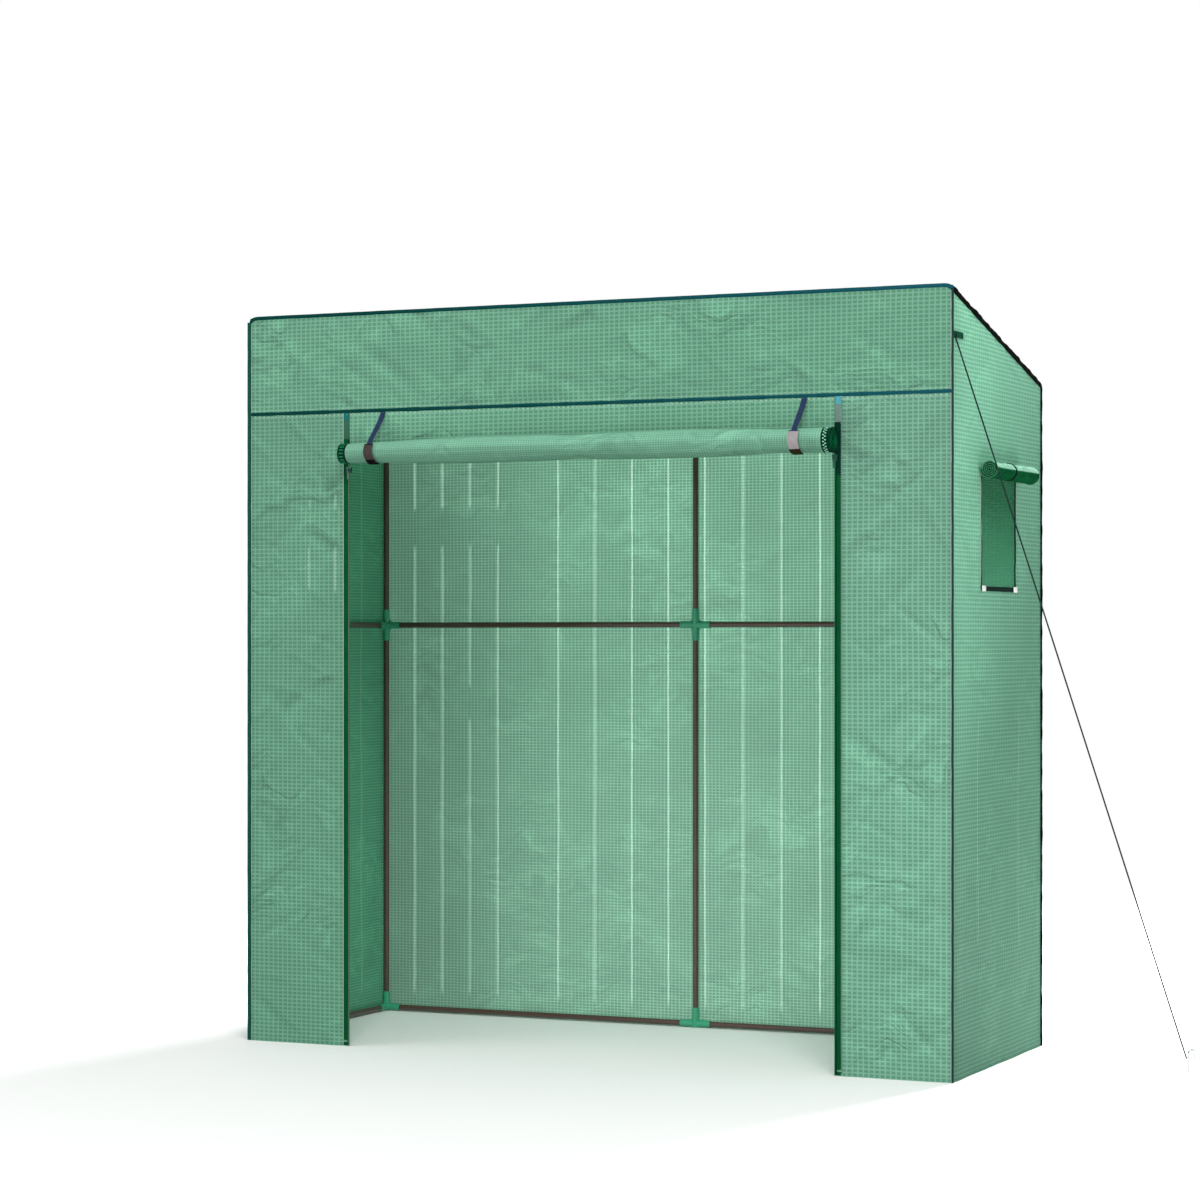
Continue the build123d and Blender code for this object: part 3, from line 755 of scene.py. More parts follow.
# broad swells and short creases, as an offset in metres over cloth coordinates
# a marked fold gives its place across and up, angle, length, breadth, rise and bend
def wrinkles(seed, size, swell, count, height, lean, marked=()):
    rng = np.random.default_rng(seed)
    width, tall = size
    waves = []
    for _ in range(7):
        angle = rng.uniform(0, math.pi)
        length = rng.uniform(0.22, 0.75)
        phase, share = rng.uniform(0, 6.28), rng.uniform(0.4, 1.0)
        waves.append((math.cos(angle) / length, math.sin(angle) / length, phase, share))
    folds = [
        (
            rng.uniform(0, width),
            rng.uniform(0, tall),
            rng.choice(lean) + rng.normal(0, 0.22),
            rng.uniform(0.03, 0.11),
            rng.uniform(0.006, 0.016),
            rng.choice((-1, 1)) * rng.uniform(0.35, 1.0) * height,
            rng.normal(0, 2.0),
        )
        for _ in range(count)
    ]
    folds += [tuple(one) for one in marked]

    def offset(u, v, foldsOnly=False):
        total = np.zeros_like(u)
        for ku, kv, phase, share in waves * (not foldsOnly):
            total += share * np.cos(2 * math.pi * (ku * u + kv * v) + phase)
        total *= swell / 3.2
        for cu, cv, angle, length, broad, rise, bend in folds:
            du, dv = u - cu, v - cv
            along = du * math.cos(angle) + dv * math.sin(angle)
            across = -du * math.sin(angle) + dv * math.cos(angle) + bend * along * along
            near = (np.abs(along) < 3 * length) & (np.abs(across) < 5 * broad)
            a, c = along[near] / length, across[near] / broad
            ridge = np.exp(-np.sqrt(c * c + 0.05) * 1.3) - 0.55 * np.exp(-((c - 1.9) ** 2))
            total[near] += rise * np.exp(-a * a) * ridge
        return total

    return offset


# painted light and shade: lighter along ridges and darker along dips of the folds
def foldShading(field, shiftU=0.0):
    full, most = 0.0028, 1.3
    return lambda u, v: np.clip(field(u + shiftU, v, foldsOnly=True) / full, -most, most)


puckerSpec = {"height": 0.0007, "pitch": 0.021, "from": 0.012, "reach": 0.011}


# how free the film is at a distance from a sewn edge, with small puckers beside it
def sewn(distance, along, ease=0.045, phase=0.0):
    free = smoothStep(distance / ease)
    near = np.exp(-((distance - puckerSpec["from"]) / puckerSpec["reach"]) ** 2)
    gather = np.sin(2 * math.pi * along / puckerSpec["pitch"] + 1.7 * np.sin(along * 9 + phase) + phase)
    return free, puckerSpec["height"] * near * gather


# the same inside several sewn edges, each one a distance, a place along the edge and a phase
def sewnInside(edges):
    free, push = 1.0, 0.0
    for distance, along, phase in edges:
        ease, puck = sewn(np.maximum(distance, 0), along, phase=phase)
        free = free * ease
        push = push + puck
    return free, push


coverSpec = {
    "frontCell": 0.0052,
    "sideCell": 0.0070,
    "wideCell": 0.0095,
    "cornerWide": 0.023,
    "cornerTall": 0.0095,
    "hem": 0.022,
    "hemStep": 0.0006,
    "hemEase": 0.002,
    "zipLap": 0.0125,  # of the wing's film under the zip's tape
    "sideTall": 1.95,
    "sideFlat": 1.62,  # the side's cloth runs level up to here and follows the slope above it
    # what holds the side's cloth flat: the flap above its seam, the guy tab behind and to both sides
    "seamHold": 0.01,
    "tabHold": (0.086, 0.009),
}


# an upright panel: its cloth runs along axisU and up
def panelPlace(axisU, origin, inward, offset):
    axisU, up, origin, inward = (np.array(v, float) for v in (axisU, (0, 0, 1), origin, inward))

    def place(u, v, depth):
        out = offset(u, v)
        return origin + u[..., None] * axisU + v[..., None] * up + (depth - out)[..., None] * inward

    return place


def hemStep(v):
    return coverSpec["hemStep"] * smoothStep((coverSpec["hem"] - v) / coverSpec["hemEase"])


def finishSheet(piece, replaced):
    rootPiece(piece, replaced)


# header over the door, with its top corners rounded to a flat oval
def roundedTop(u, half):
    wide, tall = coverSpec["cornerWide"], coverSpec["cornerTall"]
    inset = np.clip(1 - (half - np.abs(u)) / wide, 0, 1)
    return tall * (1 - np.sqrt(1 - inset**2))


def buildHeader():
    half, tall = sideX - film / 2, frontTopZ - seamZ
    marked = [
        (-0.600, 1.818, -0.64, 0.120, 0.016, 0.0040, 0.5),
        (-0.655, 1.777, -0.58, 0.060, 0.011, 0.0032, 0.0),
        (-0.895, 1.878, -0.82, 0.065, 0.012, -0.0030, 0.0),
        (-0.722, 1.742, -0.41, 0.065, 0.009, -0.0034, 0.0),
        (-0.755, 1.783, -0.08, 0.055, 0.007, -0.0026, 0.0),
        (-0.120, 1.772, -0.30, 0.090, 0.012, 0.0026, 0.0),
        (0.607, 1.754, -0.68, 0.040, 0.010, -0.0034, 0.0),
        (0.695, 1.723, -0.55, 0.022, 0.006, 0.0030, 0.0),
        (0.800, 1.800, -0.655, 0.065, 0.015, 0.0042, 0.5),
        (0.847, 1.736, -0.71, 0.026, 0.007, -0.0030, 0.0),
        (0.950, 1.770, 0.12, 0.050, 0.007, -0.0028, 0.0),
        (0.953, 1.728, -0.13, 0.030, 0.006, -0.0024, 0.0),
    ]
    marked = [(x + half, z - seamZ, *rest) for x, z, *rest in marked]
    field = wrinkles(
        11, (2 * half, tall), swell=0.0045, count=60, height=0.0024, lean=(-0.6, 0.35), marked=marked
    )

    def offset(u, v):
        free, push = sewnInside(((v, u, 0.3), (tall - v, u, 1.9), (u + half, v, 0.0), (half - u, v, 0.0)))
        return (field(u + half, v) + 0.0012) * free + push * np.minimum(free * 6, 1)

    low = tall - 0.07

    def place(u, v, depth):
        drop = roundedTop(u, half)
        raised = np.where(v > low, low + (v - low) * (tall - drop - low) / (tall - low), v)
        return panelPlace((1, 0, 0), (0, frontY, seamZ), (0, 1, 0), offset)(u, raised, depth)

    us = ticks(-half, half, coverSpec["frontCell"], -half + 0.012, half - 0.012)
    us = np.unique(np.concatenate([us, [-half + 0.0015, -half + 0.005, half - 0.0015, half - 0.005]]))
    vs = ticks(0, tall, coverSpec["frontCell"])
    piece = makeSheet("coverHeader", us, vs, place, film, ("front",), tone=foldShading(field, half))
    finishSheet(piece, "cover_header")


def buildWing(name, replaced, start, stop, seed, slot, marked):
    tall = seamZ
    width = stop - start
    lap = coverSpec["zipLap"]
    lapStart, lapStop = (lap, 0.0) if start > 0 else (0.0, lap)
    marked = [(x - start, z, *rest) for x, z, *rest in marked]
    field = wrinkles(
        seed, (width, tall), swell=0.0048, count=60, height=0.0024, lean=(0.7, -0.55), marked=marked
    )

    def offset(u, v):
        free, push = sewnInside(((tall - v, u, 0.8), (u - lapStart, v, 1.1), (width - lapStop - u, v, 2.3)))
        return (field(u, v) + 0.0015) * free + push * np.minimum(free * 6, 1) + hemStep(v)

    place = panelPlace((1, 0, 0), (start, frontY, 0), (0, 1, 0), offset)
    us = ticks(0, width, coverSpec["frontCell"])
    hem = coverSpec["hem"]
    vs = ticks(0, tall, coverSpec["frontCell"], hem - coverSpec["hemEase"], hem)
    piece = makeSheet(name, us, vs, place, film, (slot,), tone=foldShading(field))
    finishSheet(piece, replaced)


def buildRear():
    half, tall = sideX - film / 2, rearTopZ
    field = wrinkles(31, (2 * half, tall), swell=0.0045, count=130, height=0.0016, lean=(0.55, -0.45, 0.9))

    def offset(u, v):
        free, push = sewnInside(((tall - v, u, 0.8), (u + half, v, 1.1), (half - u, v, 2.3)))
        # the film may bulge out freely and in only as far as the posts and rails
        bulge = field(u + half, v) * free
        return np.maximum(bulge, -0.0002) * 0.6 + np.minimum(bulge, 0) * 0.25 + push * 0.5

    place = panelPlace((1, 0, 0), (0, rearY, 0), (0, -1, 0), offset)
    us, vs = ticks(-half, half, coverSpec["wideCell"]), ticks(0, tall, coverSpec["wideCell"])
    piece = makeSheet("coverRear", us, vs, place, film, ("rearOutside", "rear"), tone=foldShading(field, half))
    finishSheet(piece, "cover_rear")


def slopeAt(y):
    return frontTopZ - (y - frontY) * roofFall


tabMiddle = middleOf("guy_tabs").z


def buildSide(name, replaced, side, seed):
    deep = rearY - frontY
    eave = coverSpec["cornerTall"]
    marked = [
        (0.151, 1.789, -0.30, 0.070, 0.010, -0.0022, 0.0),
        (0.070, 1.840, -0.95, 0.030, 0.008, -0.0018, 0.0),
        (-0.110, 1.850, -0.54, 0.060, 0.014, 0.0018, 0.0),
        (-0.060, 0.620, -0.80, 0.050, 0.010, -0.0018, 0.0),
        (0.100, 0.230, 0.70, 0.050, 0.009, -0.0018, 0.0),
        (0.020, 0.180, 0.20, 0.060, 0.008, 0.0026, 0.0),
    ]
    marked = [(y - frontY, z, *rest) for y, z, *rest in marked]
    tall, flatTo, hem = coverSpec["sideTall"], coverSpec["sideFlat"], coverSpec["hem"]
    field = wrinkles(
        seed, (deep, tall), swell=0.0028, count=56, height=0.0014, lean=(0.75, -0.6), marked=marked
    )
    openLow, openHigh = (windowFrontY - frontY, windowBackY - frontY), (windowSill, windowHead)
    seamHold, (tabLong, tabHalf) = coverSpec["seamHold"], coverSpec["tabHold"]

    def offset(u, v):
        gapU = np.maximum(np.maximum(openLow[0] - u, u - openLow[1]), 0)
        gapV = np.maximum(np.maximum(openHigh[0] - v, v - flapSeam - seamHold), 0)
        tabU = np.maximum(u - tabLong, 0)
        tabV = np.maximum(np.maximum(tabMiddle - tabHalf - v, v - tabMiddle - tabHalf), 0)
        edges = (
            (slopeAt(u + frontY) - eave - v, u, 0.4),
            (u, v, 1.1),
            (deep - u, v, 2.3),
            (np.hypot(gapU, gapV), u + v, 0.0),
            (np.hypot(tabU, tabV), u + v, 1.4),
        )
        free, push = sewnInside(edges)
        bulge = (field(u, v) + 0.0015) * free
        return np.where(bulge < 0, bulge * 0.4, bulge) + push * np.minimum(free * 6, 1) + hemStep(v)

    def place(u, v, depth):
        top = slopeAt(u + frontY) - eave
        raised = np.where(v > flatTo, flatTo + (v - flatTo) * (top - flatTo) / (tall - flatTo), v)
        plane = panelPlace((0, 1, 0), (side * sideX, frontY, 0), (-side, 0, 0), offset)
        return plane(u, raised, depth)

    def keep(u, v):
        return ~((u > openLow[0]) & (u < openLow[1]) & (v > openHigh[0]) & (v < openHigh[1]))

    us = ticks(0, deep, coverSpec["sideCell"], *openLow)
    vs = ticks(0, tall, coverSpec["sideCell"], *openHigh, hem - coverSpec["hemEase"], hem, flatTo)
    piece = makeSheet(name, us, vs, place, film, ("side", "sideInside"), keep=keep, tone=foldShading(field))
    area = deep * (slopeAt(frontY) + slopeAt(rearY)) / 2 - deep * eave
    area -= (openLow[1] - openLow[0]) * (openHigh[1] - openHigh[0])
    finishSheet(piece, replaced)


# the roof curves down over the corner tubes at both sides
def buildRoof():
    wide, tall = coverSpec["cornerWide"], coverSpec["cornerTall"]
    half = sideX - film / 2
    arc = (wide + tall) / 2 * math.pi / 2
    flatHalf = half - wide
    length = math.hypot(rearY - frontY, frontTopZ - rearTopZ)
    down = np.array([0, (rearY - frontY) / length, -(frontTopZ - rearTopZ) / length])
    upward = np.array([0, (frontTopZ - rearTopZ) / length, (rearY - frontY) / length])
    field = wrinkles(51, (2 * half, length), swell=0.0035, count=50, height=0.0016, lean=(0.5, -0.5))
    corner = np.array([0, frontY, frontTopZ])

    def place(u, v, depth):
        beyond = np.clip(np.abs(u) - flatHalf, 0, arc)
        angle = beyond / arc * math.pi / 2
        x = np.sign(u) * (np.minimum(np.abs(u), flatHalf) + wide * np.sin(angle))
        fall = tall * (1 - np.cos(angle))
        free = smoothStep(v / 0.05) * smoothStep((length - v) / 0.05)
        free = free * smoothStep((flatHalf + arc - np.abs(u)) / 0.06)
        out = np.minimum(field(u + half, v) * free, 0.002) - depth
        level = np.cos(angle)
        normal = np.stack([np.sign(u) * np.sin(angle), level * upward[1], level * upward[2]], -1)
        straight = corner + v[..., None] * down
        base = np.stack([x, straight[..., 1], straight[..., 2] - fall], -1)
        return base + normal * out[..., None]

    us = ticks(-flatHalf - arc, flatHalf + arc, coverSpec["wideCell"], -flatHalf, flatHalf)
    for side in (-1, 1):
        us = np.unique(np.concatenate([us, side * (flatHalf + arc * np.linspace(0, 1, 7))]))
    vs = ticks(0, length, coverSpec["wideCell"])
    piece = makeSheet("coverRoof", us, vs, place, film, ("roof",), tone=foldShading(field, half))
    finishSheet(piece, "cover_roof")


# pale bands of the rear wall: place across, bottom, top and strength
bandFoot, bandTop, bandGap = 0.05, 1.75, (1.376, 1.467)
rearBands = [(x, bandFoot, bandGap[0], 0.56) for x in (-0.8992, -0.8086, -0.6283)]
rearBands += [(-0.7191, 0.95, bandGap[0], 0.52), (-0.7191, bandFoot, 0.87, 0.48)]
rearBands += [(x, bandGap[1], bandTop, 0.66) for x in (-0.8992, -0.8086, -0.7191, -0.6283)]
for strength, places in (
    (0.60, (-0.4331, -0.3182, -0.202, -0.0886, 0.0239, 0.1389, 0.2535, 0.3684)),
    (0.50, (0.483, 0.598, 0.713, 0.828, 0.943)),
):
    rearBands += [(x, bandFoot, bandTop, strength) for x in places]
# rearLook's shade ramp darkens the left part of the rear wall: painted shade
rearLook = {
    "size": 0.77,
    "seed": 9.0,
    "lines": rearBands,
    "translucent": 0.55,
    "shade": {"axis": 0, "from": -0.95, "to": -0.35, "low": 0.80, "high": 1.0},
    "creased": 0.45,
    "gloss": 0.08,
}
# painted light: the rear wall's inside face, seen through the door, is a much lighter copy of the film
materials["rear"] = filmMaterial("coverFilmRear", "front", light=(1.93, 1.25, 1.50), **rearLook)
rearLook["lines"] = [(x, low, high, 0.5 * strength) for x, low, high, strength in rearBands]
# painted light: the outside face is a darker copy whose glow lets more light through than falls on it
materials["rearOutside"] = filmMaterial(
    "coverFilmRearOutside", "front", light=(0.62, 0.60, 0.62), glow=(3.20, 2.12, 2.46), **rearLook
)
# painted light: the inside faces of the side walls are a lighter copy of the film
materials["sideInside"] = filmMaterial(
    "coverFilmInside",
    "side",
    size=0.77,
    light=(1.42, 1.60, 1.62),
    seed=3.0,
    lines=[(0.274, 0.05, 1.75, 0.95)],
    translucent=0.5,
    creased=0.6,
    gloss=0.05,
)

buildHeader()
wingEdge = doorHalf + 0.006
buildWing(
    "coverWingLeft",
    "cover_wing_left",
    -(sideX - film / 2),
    -wingEdge,
    21,
    "wingLeft",
    [
        (-0.925, 1.452, -0.14, 0.060, 0.008, -0.0032, 0.0),
        (-0.858, 1.650, -0.73, 0.055, 0.010, -0.0030, 0.0),
        (-0.940, 1.358, -0.29, 0.040, 0.006, -0.0024, 0.0),
        (-0.775, 0.985, 0.04, 0.060, 0.007, -0.0030, 0.0),
        (-0.740, 1.500, -1.20, 0.090, 0.022, -0.0034, 0.3),
        (-0.900, 1.220, 0.25, 0.050, 0.008, 0.0024, 0.0),
    ],
)
buildWing(
    "coverWingRight",
    "cover_wing_right",
    wingEdge,
    sideX - film / 2,
    24,
    "wingRight",
    [
        (0.905, 1.125, -0.70, 0.070, 0.008, 0.0040, 0.0),
        (0.772, 1.554, -0.25, 0.050, 0.010, -0.0026, 0.0),
        (0.774, 0.790, -0.71, 0.065, 0.018, 0.0040, 0.0),
        (0.745, 0.731, -0.31, 0.035, 0.006, -0.0030, 0.0),
        (0.862, 0.730, 0.06, 0.060, 0.007, -0.0026, 0.0),
        (0.905, 0.105, -0.76, 0.090, 0.010, 0.0036, 0.0),
        (0.805, 0.533, -0.20, 0.055, 0.007, -0.0024, 0.0),
        (0.760, 0.420, 0.60, 0.050, 0.012, 0.0030, 0.0),
    ],
)
buildRear()
buildSide("coverSideLeft", "cover_side_left", -1, 41)
buildSide("coverSideRight", "cover_side_right", 1, 43)
buildRoof()
print("cover panels made")

# sewn edges: tapes swept along the cover's corners and seams
def spread(points, step):
    points = [np.array(p, float) for p in points]
    found = [points[0]]
    for a, b in zip(points, points[1:]):
        count = max(1, int(round(np.linalg.norm(b - a) / step)))
        found += [a + (b - a) * i / count for i in range(1, count + 1)]
    return np.array(found)


# an oval section swept along a path; across is its wide direction
def makeTape(name, path, across, wide, deep, slot, sides=10, wobble=0.0, seed=0, flatness=1.0):
    path = np.asarray(path, float)
    rng = np.random.default_rng(seed)
    count = len(path)
    tangent = np.gradient(path, axis=0)
    tangent /= np.linalg.norm(tangent, axis=1, keepdims=True)
    across = np.broadcast_to(np.asarray(across, float), path.shape)
    side = across - tangent * np.sum(across * tangent, axis=1, keepdims=True)
    side /= np.linalg.norm(side, axis=1, keepdims=True)
    out = np.cross(tangent, side)
    run = np.concatenate([[0], np.cumsum(np.linalg.norm(np.diff(path, axis=0), axis=1))])
    shake = np.zeros(count)
    if wobble:
        for length, share in ((0.034, 0.5), (0.055, 0.8), (0.09, 1.0), (0.16, 1.0), (0.31, 0.9)):
            height = wobble * share * rng.uniform(0.5, 1.0)
            shake += height * np.sin(run * 6.283 / length + rng.uniform(0, 6.28)) / 3
    angles = np.linspace(0, 2 * math.pi, sides, endpoint=False)
    curve = np.sign(np.cos(angles)) * np.abs(np.cos(angles)) ** flatness
    rise = np.sign(np.sin(angles)) * np.abs(np.sin(angles)) ** flatness
    swollen = 1 + shake / (wide + 1e-9) * 0.8
    points = (path + out * shake[:, None])[:, None, :]
    points = points + side[:, None, :] * (curve * wide / 2)[None, :, None] * swollen[:, None, None]
    points = (points + out[:, None, :] * (rise * deep / 2)[None, :, None]).reshape(-1, 3)
    cloth = np.stack([np.repeat(run, sides), np.tile(curve * wide / 2, count)], 1)
    faces = []
    for i in range(count - 1):
        for j in range(sides):
            k = (j + 1) % sides
            faces.append([i * sides + j, (i + 1) * sides + j, (i + 1) * sides + k, i * sides + k])
    faces.append(list(range(sides)))
    faces.append([(count - 1) * sides + j for j in reversed(range(sides))])
    return addMesh(name, points, faces, cloth, None, (slot,), sharp=60)


pipingSpec = {
    "wide": 0.0105,
    "deep": 0.0050,
    "step": 0.012,
    # the tapes at the rear corners and along the slope: breadth, depth
    "rear": (0.0095, 0.0045),
    "roof": (0.0165, 0.0048),
    "wobble": 0.0009,
    # the fin that stands out from each front corner: slot, breadth
    "Left": ("edgeLeft", 0.0130),
    "Right": ("edgeTape", 0.0096),
    "finOut": 0.0026,
    "finDeep": 0.0046,
    "selvedge": (0.0026, 0.0009),
    "foot": 0.001,
    "lift": 0.0028,
}


def cornerBend(topZ, turns=9):
    wide, tall = coverSpec["cornerWide"], coverSpec["cornerTall"]
    start = sideX - film / 2 - wide
    found = []
    for angle in np.linspace(math.pi / 2, 0, turns):
        outward = Vector((math.sin(angle) / wide, 0, math.cos(angle) / tall)).normalized()
        found.append((start + wide * math.sin(angle), topZ - tall + tall * math.cos(angle), outward))
    return found


def sewnTape(name, path, across, wide, deep, tint, **more):
    rootPiece(makeTape(name, path, across, wide, deep, tint, **more), "cover_piping")


def tapeOverTop(name, y, topZ, wide, seed):
    bend = cornerBend(topZ)
    right = [((x, y, z), (out.x, 0, out.z)) for x, z, out in bend]
    left = [((-x, y, z), (-out.x, 0, out.z)) for x, z, out in reversed(bend)]
    step, deep, wobble = (pipingSpec[key] for key in ("step", "deep", "wobble"))
    straight = [((x, y, topZ), (0, 0, 1)) for x in np.arange(right[-1][0][0] - step, left[0][0][0], -step)]
    path, outward = (np.array(values, float) for values in zip(*(right + straight + left)))
    sewnTape(name, path, outward, wide, deep, "piping", wobble=wobble, seed=seed)


def buildPiping():
    half, tall = sideX - film / 2, coverSpec["cornerTall"]
    edgeY, backY = frontY + film / 2, rearY - film / 2
    wide, deep, wobble = (pipingSpec[key] for key in ("wide", "deep", "wobble"))
    frontFoot, rearFoot = frontTopZ - tall, slopeAt(rearY) - tall
    tapeOverTop("pipingTop", edgeY, frontTopZ, wide, 1)
    tapeOverTop("pipingRearTop", backY, slopeAt(rearY), wide, 12)
    seam = spread([(-half, edgeY, seamZ), (half, edgeY, seamZ)], pipingSpec["step"])
    sewnTape("pipingSeam", seam, (0, 0, 1), wide * 0.94, deep, "piping", wobble=wobble, seed=2)
    out, foot = pipingSpec["finOut"], pipingSpec["foot"]
    for side, name in ((-1, "Left"), (1, "Right")):
        x, y = side * (half + out), edgeY - out
        front = spread([(x, y, frontFoot - foot), (x, y, foot)], 0.014)
        tint, broad = pipingSpec[name]
        look = {"wobble": wobble * 0.6, "seed": 3 + side}
        sewnTape(f"pipingFront{name}", front, (side, -1, 0), broad, pipingSpec["finDeep"], tint, **look)
        # painted highlight: a pale line along the film's edge beside the fin
        for along, spot, across in (
            ("Front", (side * (half - 0.0016), frontY - 0.0004), (1, 0, 0)),
            ("Side", (side * (sideX + 0.0004), frontY + 0.0022), (0, 1, 0)),
        ):
            strip = spread([(*spot, frontFoot - 0.006), (*spot, 2 * foot)], 0.02)
            sewnTape(f"selvedge{along}{name}", strip, across, *pipingSpec["selvedge"], "edgePale", sides=6)
        x, y = side * (half + 0.001), backY + 0.001
        rear = spread([(x, y, rearFoot), (x, y, foot)], 0.010)
        slope = spread([(x, frontY, frontFoot), (x, rearY, rearFoot)], 0.007)
        slope = slope + np.array([0, 0, pipingSpec["lift"]])
        for place, path, across, shake, seed in (
            ("Rear", rear, (side, 1, 0), 0.0018, 6),
            ("Roof", slope, (0, 0, 1), 0.0022, 8),
        ):
            broad, thick = pipingSpec[place.lower()]
            look = {"wobble": shake, "seed": seed + side}
            sewnTape(f"piping{place}{name}", path, across, broad, thick, "roofTape", **look)


buildPiping()
print("piping made")


# geometry nodes for what repeats
def newShapeTree(name, sockets):
    tree = bpy.data.node_groups.new(name, "GeometryNodeTree")
    face = tree.interface
    for label, kind in (("Geometry", "Geometry"), *sockets, ("Material", "Material")):
        face.new_socket(label, in_out="INPUT", socket_type=f"NodeSocket{kind}")
    face.new_socket("Geometry", in_out="OUTPUT", socket_type="NodeSocketGeometry")
    return tree, tree.nodes.new("NodeGroupInput"), tree.nodes.new("NodeGroupOutput")


def paintShape(tree, given, put, shape):
    real = tree.nodes.new("GeometryNodeRealizeInstances")
    paint = tree.nodes.new("GeometryNodeSetMaterial")
    tree.links.new(shape, real.inputs[0])
    tree.links.new(real.outputs[0], paint.inputs["Geometry"])
    tree.links.new(given.outputs["Material"], paint.inputs["Material"])
    tree.links.new(paint.outputs[0], put.inputs[0])
    return tree


# a small shape at even steps along a path
def buildRepeatTree(name, shape):
    sockets = [(label, "Float") for label in ("Pitch", "Length", "Width", "Height")]
    tree, given, put = newShapeTree(name, [*sockets, ("Up", "Vector")])
    link = tree.links.new
    step = tree.nodes.new("GeometryNodeResampleCurve")
    step.mode = "LENGTH"
    link(given.outputs["Geometry"], step.inputs["Curve"])
    link(given.outputs["Pitch"], step.inputs["Length"])
    tangent = tree.nodes.new("GeometryNodeInputTangent")
    aim = tree.nodes.new("FunctionNodeAlignRotationToVector")
    aim.axis = "X"
    link(tangent.outputs[0], aim.inputs["Vector"])
    lift = tree.nodes.new("FunctionNodeAlignRotationToVector")
    lift.axis, lift.pivot_axis = "Z", "X"
    link(aim.outputs[0], lift.inputs["Rotation"])
    link(given.outputs["Up"], lift.inputs["Vector"])
    if shape == "bead":
        solid = tree.nodes.new("GeometryNodeMeshUVSphere")
        solid.inputs["Segments"].default_value = 8
        solid.inputs["Rings"].default_value = 5
        solid.inputs["Radius"].default_value = 0.5
    else:
        solid = tree.nodes.new("GeometryNodeMeshCube")
        solid.inputs["Size"].default_value = (1, 1, 1)
    size = tree.nodes.new("ShaderNodeCombineXYZ")
    for index, label in enumerate(("Length", "Width", "Height")):
        link(given.outputs[label], size.inputs[index])
    copies = tree.nodes.new("GeometryNodeInstanceOnPoints")
    link(step.outputs[0], copies.inputs["Points"])
    link(solid.outputs[0], copies.inputs["Instance"])
    link(lift.outputs[0], copies.inputs["Rotation"])
    link(size.outputs[0], copies.inputs["Scale"])
    return paintShape(tree, given, put, copies.outputs[0])


# a net of threads over a rectangle, each thread a thin tube
def buildNetTree():
    sockets = [
        ("Width", "Float"), ("Height", "Float"), ("Across", "Int"), ("Down", "Int"), ("Thread", "Float")
    ]
    tree, given, put = newShapeTree("screenNet", sockets)
    link = tree.links.new
    grid = tree.nodes.new("GeometryNodeMeshGrid")
    for index, source in enumerate(("Width", "Height", "Across", "Down")):
        link(given.outputs[source], grid.inputs[index])
    threads = tree.nodes.new("GeometryNodeMeshToCurve")
    link(grid.outputs["Mesh"], threads.inputs[0])
    section = tree.nodes.new("GeometryNodeCurvePrimitiveCircle")
    section.inputs["Resolution"].default_value = 5
    link(given.outputs["Thread"], section.inputs["Radius"])
    tube = tree.nodes.new("GeometryNodeCurveToMesh")
    link(threads.outputs[0], tube.inputs["Curve"])
    link(section.outputs[0], tube.inputs["Profile Curve"])
    tube.inputs["Fill Caps"].default_value = True
    return paintShape(tree, given, put, tube.outputs[0])


trees = {shape: buildRepeatTree(f"{shape}sAlong", shape) for shape in ("bead", "block")}
trees["net"] = buildNetTree()


# the shape that a tree makes from a source, baked to a mesh
def runTree(name, source, tree, material, values, place=None):
    scene.collection.objects.link(source)
    modifier = source.modifiers.new("shape", "NODES")
    modifier.node_group = tree
    values = {**values, "Material": materials[material]}
    for item in tree.interface.items_tree:
        if item.in_out == "INPUT" and item.name in values:
            modifier[item.identifier] = values[item.name]
    bpy.context.view_layer.update()
    baked = bpy.data.meshes.new_from_object(source.evaluated_get(bpy.context.evaluated_depsgraph_get()))
    bpy.data.objects.remove(source)
    baked.name = name
    baked.materials.clear()
    baked.materials.append(materials[material])
    if place is not None:
        baked.transform(place)
    baked.shade_smooth()
    baked.set_sharp_from_angle(angle=math.radians(50))
    made = bpy.data.objects.new(name, baked)
    scene.collection.objects.link(made)
    return made


def repeatAlong(name, path, shape, material, pitch, size, up):
    data = bpy.data.curves.new(name + "Path", "CURVE")
    data.dimensions = "3D"
    line = data.splines.new("POLY")
    line.points.add(len(path) - 1)
    for point, spot in zip(line.points, path):
        point.co = (*[float(c) for c in spot], 1)
    values = {"Pitch": pitch, "Length": size[0], "Width": size[1], "Height": size[2], "Up": up}
    return runTree(name, bpy.data.objects.new(name + "Path", data), trees[shape], material, values)


def buildStitches():
    end, out = 0.985, 0.0003
    for name, height, size in (
        ("stitchSeamLow", seamZ - 0.0088, (0.0088, 0.0008, 0.0017)),
        ("stitchSeamTop", seamZ + 0.0082, (0.0080, 0.0006, 0.0010)),
    ):
        path = [(x, frontY - out, height) for x in (-end, end)]
        rootPiece(repeatAlong(name, path, "bead", "stitch", 0.0128, size, (0, 0, 1)), None)


buildStitches()

# door zips
zipSpec = {
    "tapeWidth": 0.0155,
    "thick": 0.0008,
    "out": 0.0010,
    "bottom": 0.002,
    "pitch": 0.0048,
    "tooth": (0.0022, 0.0024, 0.0030),
    "coil": (0.0036, 0.0030),
    "edgeLeft": (0.0026, 0.0012),
    "edgeRight": (0.0030, 0.0012),
    "stitch": (0.0028, 0.0014, 0.0030),
    "stitchPitch": 0.0060,
    "darkAbove": {"Left": 0.040, "Right": 0.046},  # how far above the roll the tape is dark
}


